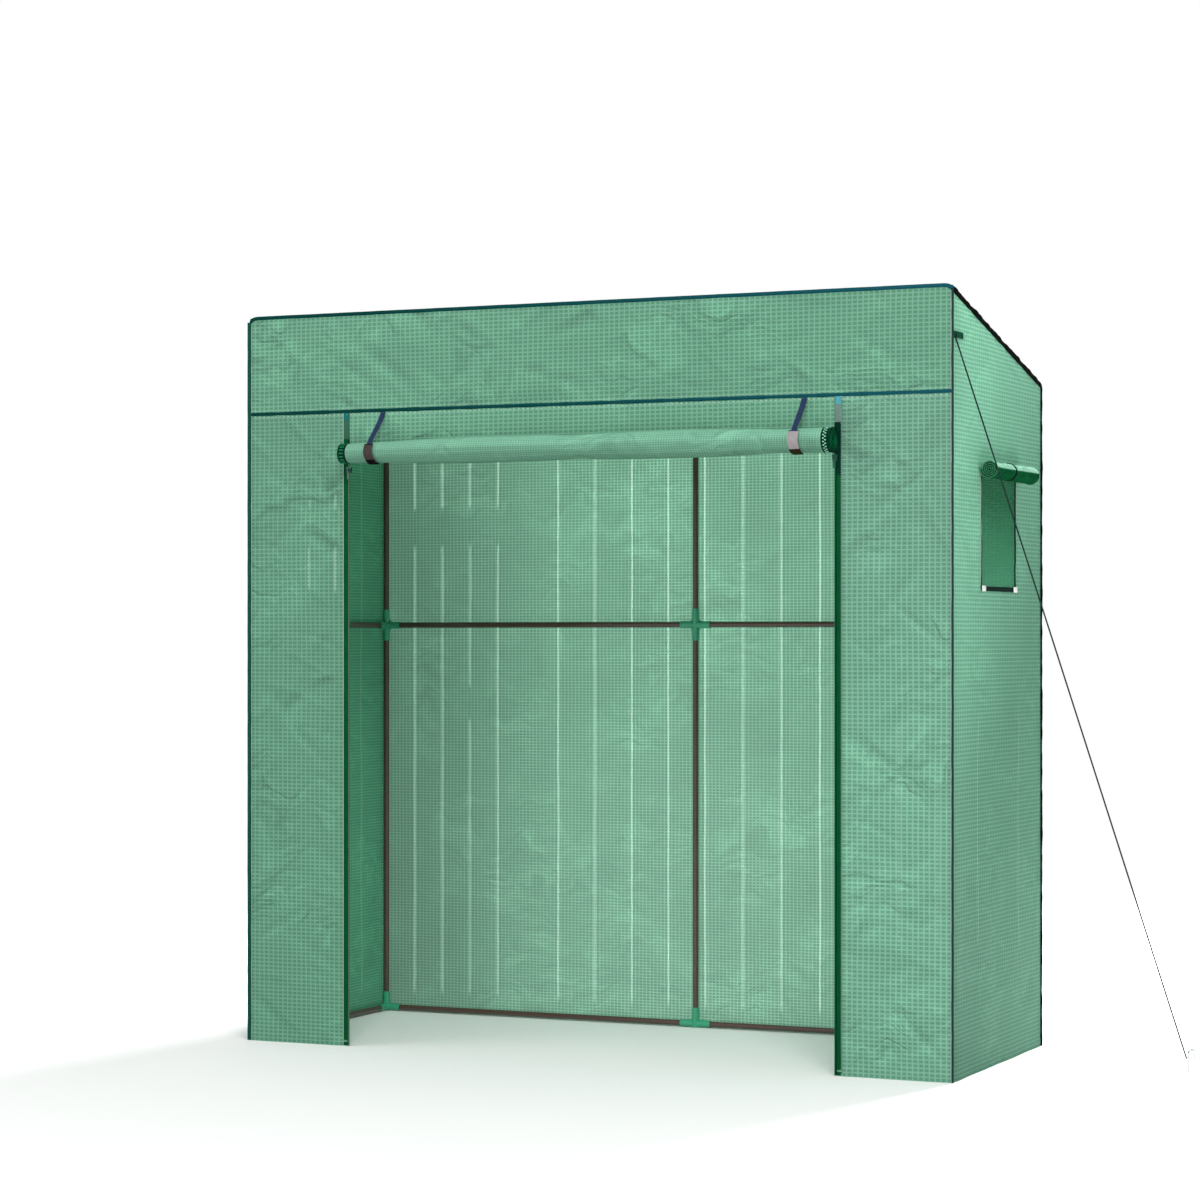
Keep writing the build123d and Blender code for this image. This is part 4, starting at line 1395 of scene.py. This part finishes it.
def buildZip(side, name):
    wide, inner = zipSpec["tapeWidth"], doorHalf + 0.0015
    faceY = frontY - zipSpec["out"]
    low, high = zipSpec["bottom"], seamZ - 0.0035
    darkTop = rollAxis.z + zipSpec["darkAbove"][name]

    def place(u, v, depth):
        bow = 0.0004 * np.sin(v * 41) + 0.0003 * np.sin(v * 97 + 1)
        y = faceY + depth + bow
        return np.stack([side * (inner + u), y, v], -1)

    def fill(u0, u1, v0, v1):
        if v0 > high - 0.021:
            return 2
        if v0 > darkTop - 0.001:
            return 1
        return 3 if side > 0 and (u1 < wide * 0.3 or v0 > rollAxis.z - 0.09) else 0

    def upright(x, y, foot, top):
        return spread([(x, y, foot), (x, y, top)], 0.02)

    us, vs = ticks(0, wide, wide / 8), ticks(low, high, 0.012, high - 0.02, darkTop)
    slots = ("zipTape", f"zipWorn{name}", f"zipEnd{name}", "zipTapeDark")
    tape = makeSheet(f"zipTape{name}", us, vs, place, zipSpec["thick"], slots, fill=fill)
    rootPiece(tape, "zip_tapes")
    x = side * (inner - 0.0007)
    for label, start, stop, tint in (
        ("Low", low, darkTop, "zipTeethDark"),
        ("High", darkTop + 0.001, high, f"zipWorn{name}"),
    ):
        path = upright(x, frontY - 0.0006, start, stop)
        coil = makeTape(f"zipCoil{label}{name}", path, (1, 0, 0), *zipSpec["coil"], tint, sides=8)
        rootPiece(coil, "zip_tapes")
    ends = [(x - side * 0.0004, frontY - 0.0016, z) for z in (low + 0.003, rollAxis.z)]
    tint = "zipTeeth" if side < 0 else "zipTeethGreen"
    pitch, tooth = zipSpec["pitch"], zipSpec["tooth"]
    teeth = repeatAlong(f"zipTeeth{name}", ends, "block", tint, pitch, tooth, (side, 0, 0))
    rootPiece(teeth, None)
    # a sewn edge of thread beside the wing; its pale tint on the left is painted highlight along the film's
    # edge
    x = side * (inner + wide + 0.0008)
    foot, top, out = low + 0.004, high - 0.002, faceY - 0.0010
    y, tint = (out, "edgePale") if side < 0 else (faceY, "zipTeethDark")
    path = upright(x, y, foot, top)
    edge = makeTape(f"zipEdge{name}", path, (1, 0, 0), *zipSpec[f"edge{name}"], tint, sides=6)
    rootPiece(edge, "zip_tapes")
    if side > 0:
        ends, pitch = [(x, out, foot), (x, out, top)], zipSpec["stitchPitch"]
        thread = repeatAlong("zipStitchRight", ends, "bead", "stitch", pitch, zipSpec["stitch"], (1, 0, 0))
        rootPiece(thread, None)


buildZip(-1, "Left")
buildZip(1, "Right")
print("zips made")

# rolled door
curtainTop, curtainLow = highOf("door_curtain").z, lowOf("door_curtain").z
strapSpec = {
    # seam place, lean at the roll's top, patch material and width
    "left": {
        "x": -0.589, "lean": -0.016, "patchWide": 0.026, "patch": ("strapDark", "strapBlack", "strapBlack")
    },
    "right": {"x": 0.613, "lean": -0.008, "patchWide": 0.028, "patch": ("strapPale", "strapOlive", "strap")},
    "width": 0.0145,
    "thick": 0.0012,
    "patchThick": 0.0011,
    "patchLift": 0.0014,
    "stitch": (0.0022, 0.0007, 0.0008),
    "stitchPitch": 0.0035,
}
rollSpec = {
    "turns": 11.5,
    "pitch": 0.0021,
    "around": 30,
    # place along the roll, radius
    "radii": (
        (-0.69, 0.0263), (-0.66, 0.0276), (-0.58, 0.0293), (-0.523, 0.0308), (-0.433, 0.0333),
        (-0.30, 0.0356), (-0.197, 0.0355), (-0.11, 0.0346), (-0.009, 0.0332), (0.09, 0.0343),
        (0.173, 0.0368), (0.219, 0.0373), (0.313, 0.0371), (0.395, 0.0363), (0.442, 0.0350),
        (0.535, 0.0323), (0.6575, 0.0321), (0.70, 0.0322),
    ),
    "thick": 0.0009,
    "coil": (0.0034, 0.0026),
    "toothPitch": 0.0088,
    "tape": 0.0200,
    "reach": 0.012,
    # rows of teeth: distance from the end, shift round the roll, breadth
    "teethLeft": ((0.0098, 0.0, 0.0120),),
    "teethRight": ((0.0148, 0.0, 0.0042), (0.0094, 0.0044, 0.0042)),
}


def rollRadius(x):
    places, radii = zip(*rollSpec["radii"])
    return np.interp(x, places, radii)


# cloth length along v is turned into an angle of the spiral, which starts on the wall's side
def spiralPlace(radiusAt, pitch, axisZ, wave):
    middle = radiusAt(0.0)
    table = np.linspace(0, 2 * math.pi * min(14, 0.97 * middle / pitch), 4000)
    r = middle - pitch * table / (2 * math.pi)
    run = np.concatenate([[0], np.cumsum((r[1:] + r[:-1]) / 2 * np.diff(table))])

    def place(u, v, depth):
        angle = np.interp(v, run, table)
        outer = radiusAt(u)
        r = outer * (1 - (pitch / middle) * angle / (2 * math.pi)) - depth + wave(u, angle)
        axisOut = outer + 0.0008
        return u, (axisOut - r * np.cos(angle)), axisZ - r * np.sin(angle)

    return place, run, table


def buildDoorRoll():
    rng = np.random.default_rng(77)
    phase = rng.uniform(0, 6.28, 8)

    def wave(u, angle):
        outerShare = np.exp(-angle / 7.0)
        long = 0.0005 * np.sin(u * 11 + phase[0]) + 0.0004 * np.sin(u * 23 + angle + phase[1])
        twist = 0.0005 * np.sin(u * 34 + angle * 2 + phase[2])
        twist += 0.0003 * np.sin(u * 61 - angle * 3 + phase[3])
        return (long + twist) * outerShare

    place, run, table = spiralPlace(rollRadius, rollSpec["pitch"], rollAxis.z, wave)
    fullTurn = rollSpec["turns"] * 2 * math.pi
    length = float(np.interp(fullTurn, table, run))
    half, tape = rollHalf + rollSpec["reach"], rollSpec["tape"]

    def put(u, v, depth):
        angle = np.interp(v, run, table)
        stagger = 0.0014 * np.sin(angle * 0.8 + 1.0) + 0.0012 * np.sin(angle * 2.3)
        x = u + np.sign(u) * stagger * smoothStep((np.abs(u) - half + 0.05) / 0.05)
        _, off, z = place(u, v, depth)
        return np.stack([x, frontY - off, z], -1)

    def fill(u0, u1, v0, v1):
        inward = half - min(abs(u0), abs(u1))
        return 2 if inward < 0.0019 else (1 if inward < tape + 0.0005 else 0)

    # painted light and shade: the top of the roll a little lighter, its lower part darker and its underside
    # darker still
    def tone(u, v):
        height = -np.sin(np.interp(v, run, table))
        return 0.15 - 1.55 * smoothStep((0.34 - height) / 0.34) - 0.35 * smoothStep((-0.55 - height) / 0.2)

    us = ticks(-half, half, 0.020, -half + tape, half - tape, -half + 0.0018, half - 0.0018)
    vs = np.interp(np.linspace(0, fullTurn, int(rollSpec["turns"] * rollSpec["around"])), table, run)
    slots = ("rollFilm", "zipTapeDark", "rollEnd")
    roll = makeSheet("doorRoll", us, vs, put, rollSpec["thick"], slots, fill=fill, tone=tone)
    rootPiece(roll, "door_roll", body="door_roll")
    squashDoor(roll)
    print("door roll length of sheet", round(length, 4))

    def ringPath(turns, x, side, shift, depth):
        v = np.interp(turns, table, run) + shift
        _, off, z = place(np.full_like(v, side * half), v, depth)
        return np.stack([np.full_like(off, x), frontY - off, z], -1)

    # the zip's teeth round both ends of the roll, in two rows that zigzag
    for side, name in ((-1, "Left"), (1, "Right")):
        tint = "zipTeethGreen" if side < 0 else "zipTeethPale"
        for row, (inset, shift, broad) in enumerate(rollSpec["teeth" + name]):
            path = ringPath(np.linspace(0.0, 2 * math.pi, 90), side * (half - inset), side, shift, -0.0010)
            size, pitch = (0.0030, 0.0018, broad), rollSpec["toothPitch"]
            teeth = repeatAlong(f"rollTeeth{name}{row}", path, "block", tint, pitch, size, (side, 0, 0))
            rootPiece(teeth, None, body="door_roll")
            squashDoor(teeth)
        for label, inset, turned in (("Outer", -0.0006, 1.35), ("Inner", tape, 1.0)):
            turns = np.linspace(0.0, 2 * math.pi * turned, 70)
            path = ringPath(turns, side * (half - inset), side, 0.0, -0.0003)
            wide, deep = rollSpec["coil"]
            cord = makeTape(f"rollCoil{label}{name}", path, (1, 0, 0), wide, deep, "zipTeethDark", sides=8)
            rootPiece(cord, None, body="door_roll")
            squashDoor(cord)


def squashDoor(piece):
    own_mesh(piece)


# a hanging sheet lengthens between two bodies, so it rides neither
def hungPiece(replaced):
    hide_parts(replaced)


def buildCurtain():
    half = doorHalf - 0.0015
    tall = curtainTop - curtainLow
    marked = [(0.42, 0.035, -0.35, 0.05, 0.006, 0.0016, 0.0)]
    field = wrinkles(
        61, (2 * half, tall), swell=0.0016, count=22, height=0.0012, lean=(0.9, -0.8), marked=marked
    )

    def offset(u, v):
        ease, puck = sewn(tall - v, u, ease=0.03, phase=0.6)
        return (field(u + half, v) + 0.0006) * ease * smoothStep(v / 0.02) + puck * np.minimum(ease * 6, 1)

    place = panelPlace((1, 0, 0), (0, frontY, curtainLow), (0, 1, 0), offset)
    us, vs = ticks(-half, half, 0.0085, -half + 0.006, half - 0.006), ticks(0, tall, 0.0045)

    def fill(u0, u1, v0, v1):
        return 1 if min(abs(u0), abs(u1)) > half - 0.0020 else 0

    curtain = makeSheet("doorCurtain", us, vs, place, film, ("curtain", "zipWornLeft"), fill=fill)
    hungPiece("door_curtain")
    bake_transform(curtain)


# down from the seam, over the front of the roll, under it and up behind the hanging sheet
def strapPath(spec, lift=0.0):
    radius = float(rollRadius(spec["x"] + spec["lean"])) + 0.0009 + lift
    axis = np.array([frontY - float(rollRadius(spec["x"])) - 0.0008, rollAxis.z])
    top = np.array([frontY - 0.0028 - lift, curtainTop - 0.002])
    away = top - axis
    touch = math.atan2(away[1], away[0]) + math.acos(min(1.0, radius / np.linalg.norm(away)))
    tangent = axis + radius * np.array([math.cos(touch), math.sin(touch)])
    points, lean = [], []

    def step(y, z, share):
        points.append(np.array([y, z]))
        lean.append(spec["lean"] * share)

    for t in np.linspace(0, 1, 16, endpoint=False):
        sag = 0.004 * math.sin(math.pi * t)
        y, z = top + (tangent - top) * t + np.array([sag * 0.4, -sag * 0.3])
        step(y, z, smoothStep(t * 1.05) if t < 0.95 else 1.0)
    for a in np.linspace(touch, math.pi, 12, endpoint=False):
        step(axis[0] + radius * math.cos(a), axis[1] + radius * math.sin(a), 1.0)
    back = frontY + film + 0.0012
    under = (back - (axis[0] - radius)) / 2
    for a in np.linspace(math.pi, 2 * math.pi, 22, endpoint=False):
        y = axis[0] - radius + under + under * math.cos(a)
        step(y, axis[1] + (radius + 0.001) * math.sin(a), 1 - 0.35 * (a - math.pi) / math.pi)
    for t in np.linspace(0, 1, 12):
        step(back, axis[1] + (curtainTop - 0.004 - axis[1]) * t, 0.65 * (1 - t))
    return np.array(points), np.array(lean)


def ribbonPlace(points, lean, centreX):
    run = np.concatenate([[0], np.cumsum(np.linalg.norm(np.diff(points, axis=0), axis=1))])
    tangent = np.gradient(points, axis=0)
    tangent /= np.linalg.norm(tangent, axis=1, keepdims=True)
    normal = np.stack([-tangent[:, 1], tangent[:, 0]], 1)

    def place(u, v, depth):
        at = lambda values: np.interp(u, run, values)
        y = at(points[:, 0]) - depth * at(normal[:, 0])
        z = at(points[:, 1]) - depth * at(normal[:, 1])
        return np.stack([centreX + at(lean) + v, y, z], -1)

    return place, run


def buildStraps():
    wide, thick = strapSpec["width"], strapSpec["thick"]
    for side in ("left", "right"):
        spec, name = strapSpec[side], side.capitalize()
        place, run = ribbonPlace(*strapPath(spec), spec["x"])
        us, vs = ticks(0, run[-1], 0.004), ticks(-wide / 2, wide / 2, wide / 4)
        strap = makeSheet(f"strap{name}", us, vs, place, thick, ("strap",))
        rootPiece(strap, "door_straps")
        squashDoor(strap)
        # the wider hook-and-loop patch over the front of the roll
        place, run = ribbonPlace(*strapPath(spec, strapSpec["patchLift"]), spec["x"])
        start, stop, patchWide = run[15], run[38], spec["patchWide"]

        def fold(u, v, depth, place=place, start=start, stop=stop):
            ripple = 0.0006 * np.sin((u - start) * 190) + 0.0004 * np.sin(v * 300)
            lifted = place(u, v, depth - ripple)
            share = (u - start) / (stop - start)
            lifted[..., 0] += 0.006 * (share - 0.2) ** 2 * np.sign(share - 0.2)
            return lifted

        # the part round the underside of the roll takes the second slot, a darker tint that is painted
        # shade; a sliver at the top takes the third
        def fill(u0, u1, v0, v1, start=start, stop=stop):
            share = ((u0 + u1) / 2 - start) / (stop - start)
            return 1 if share > 0.66 else (2 if share < 0.05 else 0)

        us, vs = ticks(start, stop, 0.003), ticks(-patchWide / 2, patchWide / 2, 0.003)
        patch = makeSheet(
            f"strapPatch{name}", us, vs, fold, strapSpec["patchThick"], spec["patch"], fill=fill
        )
        rootPiece(patch, "door_straps")
        squashDoor(patch)
        # a stitched end under the seam
        path = [(spec["x"] + wide * share, frontY - 0.0041, curtainTop - 0.006) for share in (-0.36, 0.4)]
        pitch, size = strapSpec["stitchPitch"], strapSpec["stitch"]
        thread = repeatAlong(f"strapStitch{name}", path, "bead", "stitch", pitch, size, (0, 0, 1))
        rootPiece(thread, None)


buildCurtain()
buildDoorRoll()
buildStraps()
print("door made")

# windows
windowSpec = {
    "meshPitch": 0.0058,
    "thread": 0.00085,
    "rollTurns": 4.2,
    "rollPitch": 0.0046,
    "rollThick": 0.0028,
    "rollReach": 0.018,
    "binding": 0.0085,
    "tab": (0.030, 0.0145, 0.0014),
    "tie": 0.009,
    "rollClear": 0.0068,  # how far from the wall the roll keeps when it is down
}
flapWide = highOf("window_roll_right").y - lowOf("window_roll_right").y


# screen of crossed threads just inside the wall
def buildScreen(side, name):
    pitch = windowSpec["meshPitch"]
    spanY, spanZ = windowBackY - windowFrontY + screenLap, windowHead - windowSill + screenLap
    middle = ((windowFrontY + windowBackY) / 2, (windowHead + windowSill) / 2)
    turn = Matrix(((0, 0, side, 0), (side, 0, 0, 0), (0, 1, 0, 0), (0, 0, 0, 1)))
    place = Matrix.Translation((side * (sideX - film - 0.0008), *middle)) @ turn
    values = {"Width": spanY, "Height": spanZ, "Across": int(spanY / pitch), "Down": int(spanZ / pitch)}
    values["Thread"] = windowSpec["thread"]
    source = bpy.data.objects.new("netSource", bpy.data.meshes.new("netSource"))
    net = runTree(f"windowScreen{name}", source, trees["net"], "screenThread", values, place)
    rootPiece(net, f"window_screen_{name.lower()}")


# folded tape down both sides, under the sill and over the seam, and tabs for the ties under the sill
def buildWindowTapes(side, name):
    outX = side * sideX
    x, middleY, wide = outX + side * 0.0006, (windowFrontY + windowBackY) / 2, windowSpec["binding"]
    front, back, sill, roll, seam = windowFrontY, windowBackY, windowSill, flapRoll.z, flapSeam + 0.003
    seamFront, seamBack = middleY - flapWide / 2, middleY + flapWide / 2
    edges = (
        # name, both ends, broad direction, breadth, slot
        ("Front", (front - 0.003, roll), (front - 0.003, sill - 0.006), (0, 1, 0), wide, "binding"),
        ("Back", (back + 0.003, roll), (back + 0.003, sill - 0.006), (0, 1, 0), wide, "binding"),
        ("Sill", (front - 0.004, sill - 0.007), (back + 0.004, sill - 0.007), (0, 0, 1), 0.0125, "binding"),
        ("Seam", (seamFront, seam), (seamBack, seam), (0, 0, 1), 0.008, "side"),
        # pale lines beside the bindings: painted highlight along the film's edge
        ("EdgeFront", (front - 0.0085, roll), (front - 0.0085, sill), (0, 1, 0), 0.0026, "edgePale"),
        ("EdgeBack", (back + 0.0085, roll), (back + 0.0085, sill + 0.12), (0, 1, 0), 0.0034, "edgePale"),
    )
    for index, (label, start, stop, across, broad, tint) in enumerate(edges):
        path = spread([(x, *start), (x, *stop)], 0.01)
        look = {"wobble": 0.0008, "seed": 20 + index, "flatness": 0.7}
        tape = makeTape(f"windowTape{name}{label}", path, across, broad, 0.0030, tint, **look)
        rootPiece(tape, "window_binding")
    tabDeep, tabTall, tabThick = windowSpec["tab"]
    us, vs = ticks(-tabDeep / 2, tabDeep / 2, 0.003), ticks(-tabTall / 2, tabTall / 2, 0.003)
    for edge, label in ((middleY - 0.137, "Front"), (middleY + 0.137, "Back")):

        def place(u, v, depth, edge=edge):
            curl = 0.0016 * (u / tabDeep * 2) ** 2
            out = outX + side * (tabThick + 0.0024 + curl - depth)
            return np.stack([out, edge + u, windowSill - 0.007 + v], -1)

        tab = makeSheet(f"windowLoopTab{name}{label}", us, vs, place, tabThick, ("loopTab",))
        rootPiece(tab, "window_loop_tabs")


# the flap: its short hanging part, the roll with its spiral open to view at both ends, and the tie
def buildFlap(side, name):
    lower = name.lower()
    rollNode, flapNode, joint = f"window_roll_{lower}", f"window_flap_{lower}", f"window_{lower}_drop"
    middleY, wide = (windowFrontY + windowBackY) / 2, flapWide
    flapX = (highOf(flapNode) if side > 0 else lowOf(flapNode)).x
    flapLow = lowOf(flapNode).z
    hang = flapSeam - flapLow

    def hung(u, v, depth):
        x = flapX - side * (depth + 0.0004 * np.sin(u * 60))
        return np.stack([x, middleY + u, flapLow + v], -1)

    us, vs = ticks(-wide / 2, wide / 2, 0.008), ticks(0, hang, 0.0016)
    flap = makeSheet(f"windowFlap{name}", us, vs, hung, 0.0009, ("side",))
    hungPiece(flapNode)
    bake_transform(flap)
    outer = (highOf(rollNode).z - lowOf(rollNode).z) / 2

    def radiusAt(u):
        pinch = 0.0026 * np.exp(-((u - 0.004) / 0.013) ** 2)
        return outer + 0.0010 + 0.0016 * smoothStep(u / 0.15) + 0.0006 * np.sin(u * 30 + 1) - pinch

    phase = 0.7 * side
    farEnd = wide / 2 + windowSpec["rollReach"]

    def wave(u, angle):
        ripple = 0.0005 * np.sin(u * 55 + angle * 2 + phase) + 0.0004 * np.sin(u * 90 - angle * 3)
        return ripple * np.exp(-angle / 9)

    rollPlace, run, table = spiralPlace(radiusAt, windowSpec["rollPitch"], flapRoll.z, wave)
    fullTurn = windowSpec["rollTurns"] * 2 * math.pi
    length = float(np.interp(fullTurn, table, run))

    def rolled(u, v, depth):
        angle = np.interp(v, run, table)
        stagger = 0.002 * np.sin(angle * 0.9)
        _, off, z = rollPlace(u, v, depth)
        y = middleY + u + np.sign(u) * stagger * smoothStep((np.abs(u) - wide / 2 + 0.03) / 0.03)
        return np.stack([flapX + side * off * 1.06, y, z], -1)

    # painted light and shade: a pale highlight along the top of the roll, darker from a little above its
    # middle down
    def tone(u, v):
        height = -np.sin(np.interp(v, run, table))
        return 0.2 - 1.6 * smoothStep((0.40 - height) / 0.26) + 2.0 * smoothStep((height - 0.74) / 0.16)

    # the lower half and the inner turns take the darker copy of the film, painted shade; the near end takes
    # the end's tint
    def fill(u0, u1, v0, v1):
        angle = float(np.interp((v0 + v1) / 2, run, table))
        if u1 < -wide / 2 + 0.0011:
            return 2
        return 1 if angle > 6.6 or math.sin(angle) > -0.14 else 0

    us = ticks(-wide / 2, farEnd, 0.007, -wide / 2 + 0.001, farEnd - 0.001)
    vs = np.interp(np.linspace(0, fullTurn, int(windowSpec["rollTurns"] * 40)), table, run)
    slots = ("rollFlap", "rollFlapShaded", "rollFlapEnd")
    thick = windowSpec["rollThick"]
    roll = makeSheet(f"windowRoll{name}", us, vs, rolled, thick, slots, fill=fill, tone=tone)
    rootPiece(roll, rollNode, body=rollNode)
    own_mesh(roll)
    # the tie round the middle of the roll
    radius = radiusAt(0.004) + 0.0012
    centreX = flapX + side * (outer + 0.0008)
    ring = [(flapX + side * 0.002, middleY + 0.002, flapSeam - 0.002)]
    for a in np.linspace(0.55, 2 * math.pi - 0.4, 44):
        out, rise = -radius * math.cos(a), radius * math.sin(a)
        ring.append((centreX + side * out, middleY + 0.004, flapRoll.z + rise))
    ring.append((side * (sideX + 0.0012), middleY + 0.003, flapRoll.z + 0.004))
    path = spread(ring, 0.003)
    tie = makeTape(f"windowTie{name}", path, (0, 1, 0), windowSpec["tie"], 0.0020, "binding", flatness=0.7)
    rootPiece(tie, f"window_tie_{lower}")
    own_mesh(tie)


for side, name in ((-1, "Left"), (1, "Right")):
    buildScreen(side, name)
    buildWindowTapes(side, name)
    buildFlap(side, name)
print("windows made")

# guy tabs and the rope's knot
tabSpec = {"height": 0.0155, "thick": 0.0018, "length": 0.080, "bow": 0.0022}


def buildGuyTabs():
    tall, thick, length = (tabSpec[key] for key in ("height", "thick", "length"))
    start, middleZ = lowOf("guy_tabs").y, middleOf("guy_tabs").z
    us, vs = ticks(0, length, 0.003), ticks(-tall / 2, tall / 2, 0.003)
    for side, name in ((-1, "Left"), (1, "Right")):

        def place(u, v, depth, side=side):
            bow = tabSpec["bow"] * np.sin(np.clip(u / length, 0, 1) * math.pi) ** 2
            out = sideX + (thick + 0.0006 + bow) - depth
            return np.stack([side * out, start + u, middleZ + v - 0.0006 * np.sin(u * 50)], -1)

        rootPiece(makeSheet(f"guyTab{name}", us, vs, place, thick, ("tab",)), "guy_tabs")
    turns = []
    for a in np.linspace(0, 6.28 * 2.2, 60):
        out, rise = 0.0036 * math.cos(a), 0.0042 * math.sin(a)
        turns.append((ropeTop.x + out, ropeTop.y + 0.0011 * (a / 6.28 - 1.0), ropeTop.z + 0.0035 + rise))
    rootPiece(makeTape("guyKnot", turns, (0, 1, 0), 0.0032, 0.0032, "rope", sides=8), None)


buildGuyTabs()

# finishes of the pieces that stay as they are, by slot; a node of its own comes first
finishSpec = {
    "zip_pull_left": "pullMetal",
    "tube": "tube",
    "connector": "connector",
    "zip_metal": "zipMetal",
    "peg_steel": "peg",
}
for part in frame["record"]["subparts"]:
    wanted = finishSpec.get(part["node"], finishSpec.get(part["material_slot"]))
    if wanted:
        piece = cad[part["node"]]
        piece.data.materials.clear()
        piece.data.materials.append(materials[wanted])
print("finishes set")

# floor and light
stageSpec = {"floorHalf": 30.0, "fadeFrom": 2.6, "fadeTo": 7.0, "floorTint": (0.86, 0.87, 0.86)}


def buildFloor():
    half = stageSpec["floorHalf"]
    corners = [(-half, -half, 0), (half, -half, 0), (half, half, 0), (-half, half, 0)]
    floor = addMesh("floor", corners, [[0, 1, 2, 3]], smooth=False)
    made, tree, shader, out = newMaterial("floorPale")
    shader.inputs["Roughness"].default_value = 0.75
    shader.inputs["Specular IOR Level"].default_value = 0.2
    place = node(tree, "ShaderNodeTexCoord")
    span = node(tree, "ShaderNodeVectorMath", operation="LENGTH")
    tree.links.new(place.outputs["Object"], span.inputs[0])
    reach = (stageSpec["fadeFrom"], stageSpec["fadeTo"])
    fade = rampAlong(tree, span.outputs["Value"], reach, interpolation_type="SMOOTHSTEP")
    speck = node(tree, "ShaderNodeTexNoise", in_2=3.0, in_3=3.0)
    tree.links.new(place.outputs["Object"], speck.inputs["Vector"])
    tint = stageSpec["floorTint"]
    base = mixColour(tree, speck.outputs[0], tuple(c * 0.99 for c in tint), tint)
    tree.links.new(base, shader.inputs["Base Color"])
    light = node(tree, "ShaderNodeLightPath")
    glow = node(tree, "ShaderNodeEmission", in_0=(1, 1, 1, 1), in_1=1.0)
    seen = math2(tree, "MULTIPLY", fade, light.outputs["Is Camera Ray"])
    mix = node(tree, "ShaderNodeMixShader")
    tree.links.new(seen, mix.inputs[0])
    tree.links.new(shader.outputs[0], mix.inputs[1])
    tree.links.new(glow.outputs[0], mix.inputs[2])
    tree.links.new(mix.outputs[0], out.inputs[0])
    floor.data.materials.append(made)


def buildWorld():
    world = bpy.data.worlds.new("studio")
    world.use_nodes = True
    tree = world.node_tree
    tree.nodes.clear()
    out = tree.nodes.new("ShaderNodeOutputWorld")
    light = node(tree, "ShaderNodeLightPath")
    fill = node(tree, "ShaderNodeBackground", in_0=(1, 1, 1, 1), in_1=0.62)
    seen = node(tree, "ShaderNodeBackground", in_0=(1, 1, 1, 1), in_1=1.0)
    mix = node(tree, "ShaderNodeMixShader")
    either = math2(tree, "MAXIMUM", light.outputs["Is Camera Ray"], light.outputs["Is Transmission Ray"])
    tree.links.new(either, mix.inputs[0])
    tree.links.new(fill.outputs[0], mix.inputs[1])
    tree.links.new(seen.outputs[0], mix.inputs[2])
    tree.links.new(mix.outputs[0], out.inputs[0])
    scene.world = world


lampSpec = {
    # place, aimed at, size, watts, mirrored in glossy surfaces
    "key": ((2.4, -4.9, 6.6), (0.2, 0.0, 1.0), 3.0, 400.0, True),
    "fill": ((-5.5, -4.5, 2.6), (0.0, 0.0, 1.0), 4.0, 110.0, True),
    "behind": ((0.8, 4.5, 3.6), (0.2, 0.4, 1.0), 3.0, 900.0, False),
}


def buildLamps():
    for name, (place, target, size, watts, mirrored) in lampSpec.items():
        data = bpy.data.lights.new(name, "AREA")
        data.shape = "SQUARE"
        data.size = size
        data.energy = watts
        lamp = bpy.data.objects.new(name, data)
        lamp.visible_glossy = mirrored
        lamp.location = place
        lamp.rotation_euler = (Vector(target) - Vector(place)).to_track_quat("-Z", "Y").to_euler()
        scene.collection.objects.link(lamp)


buildFloor()
buildWorld()
buildLamps()
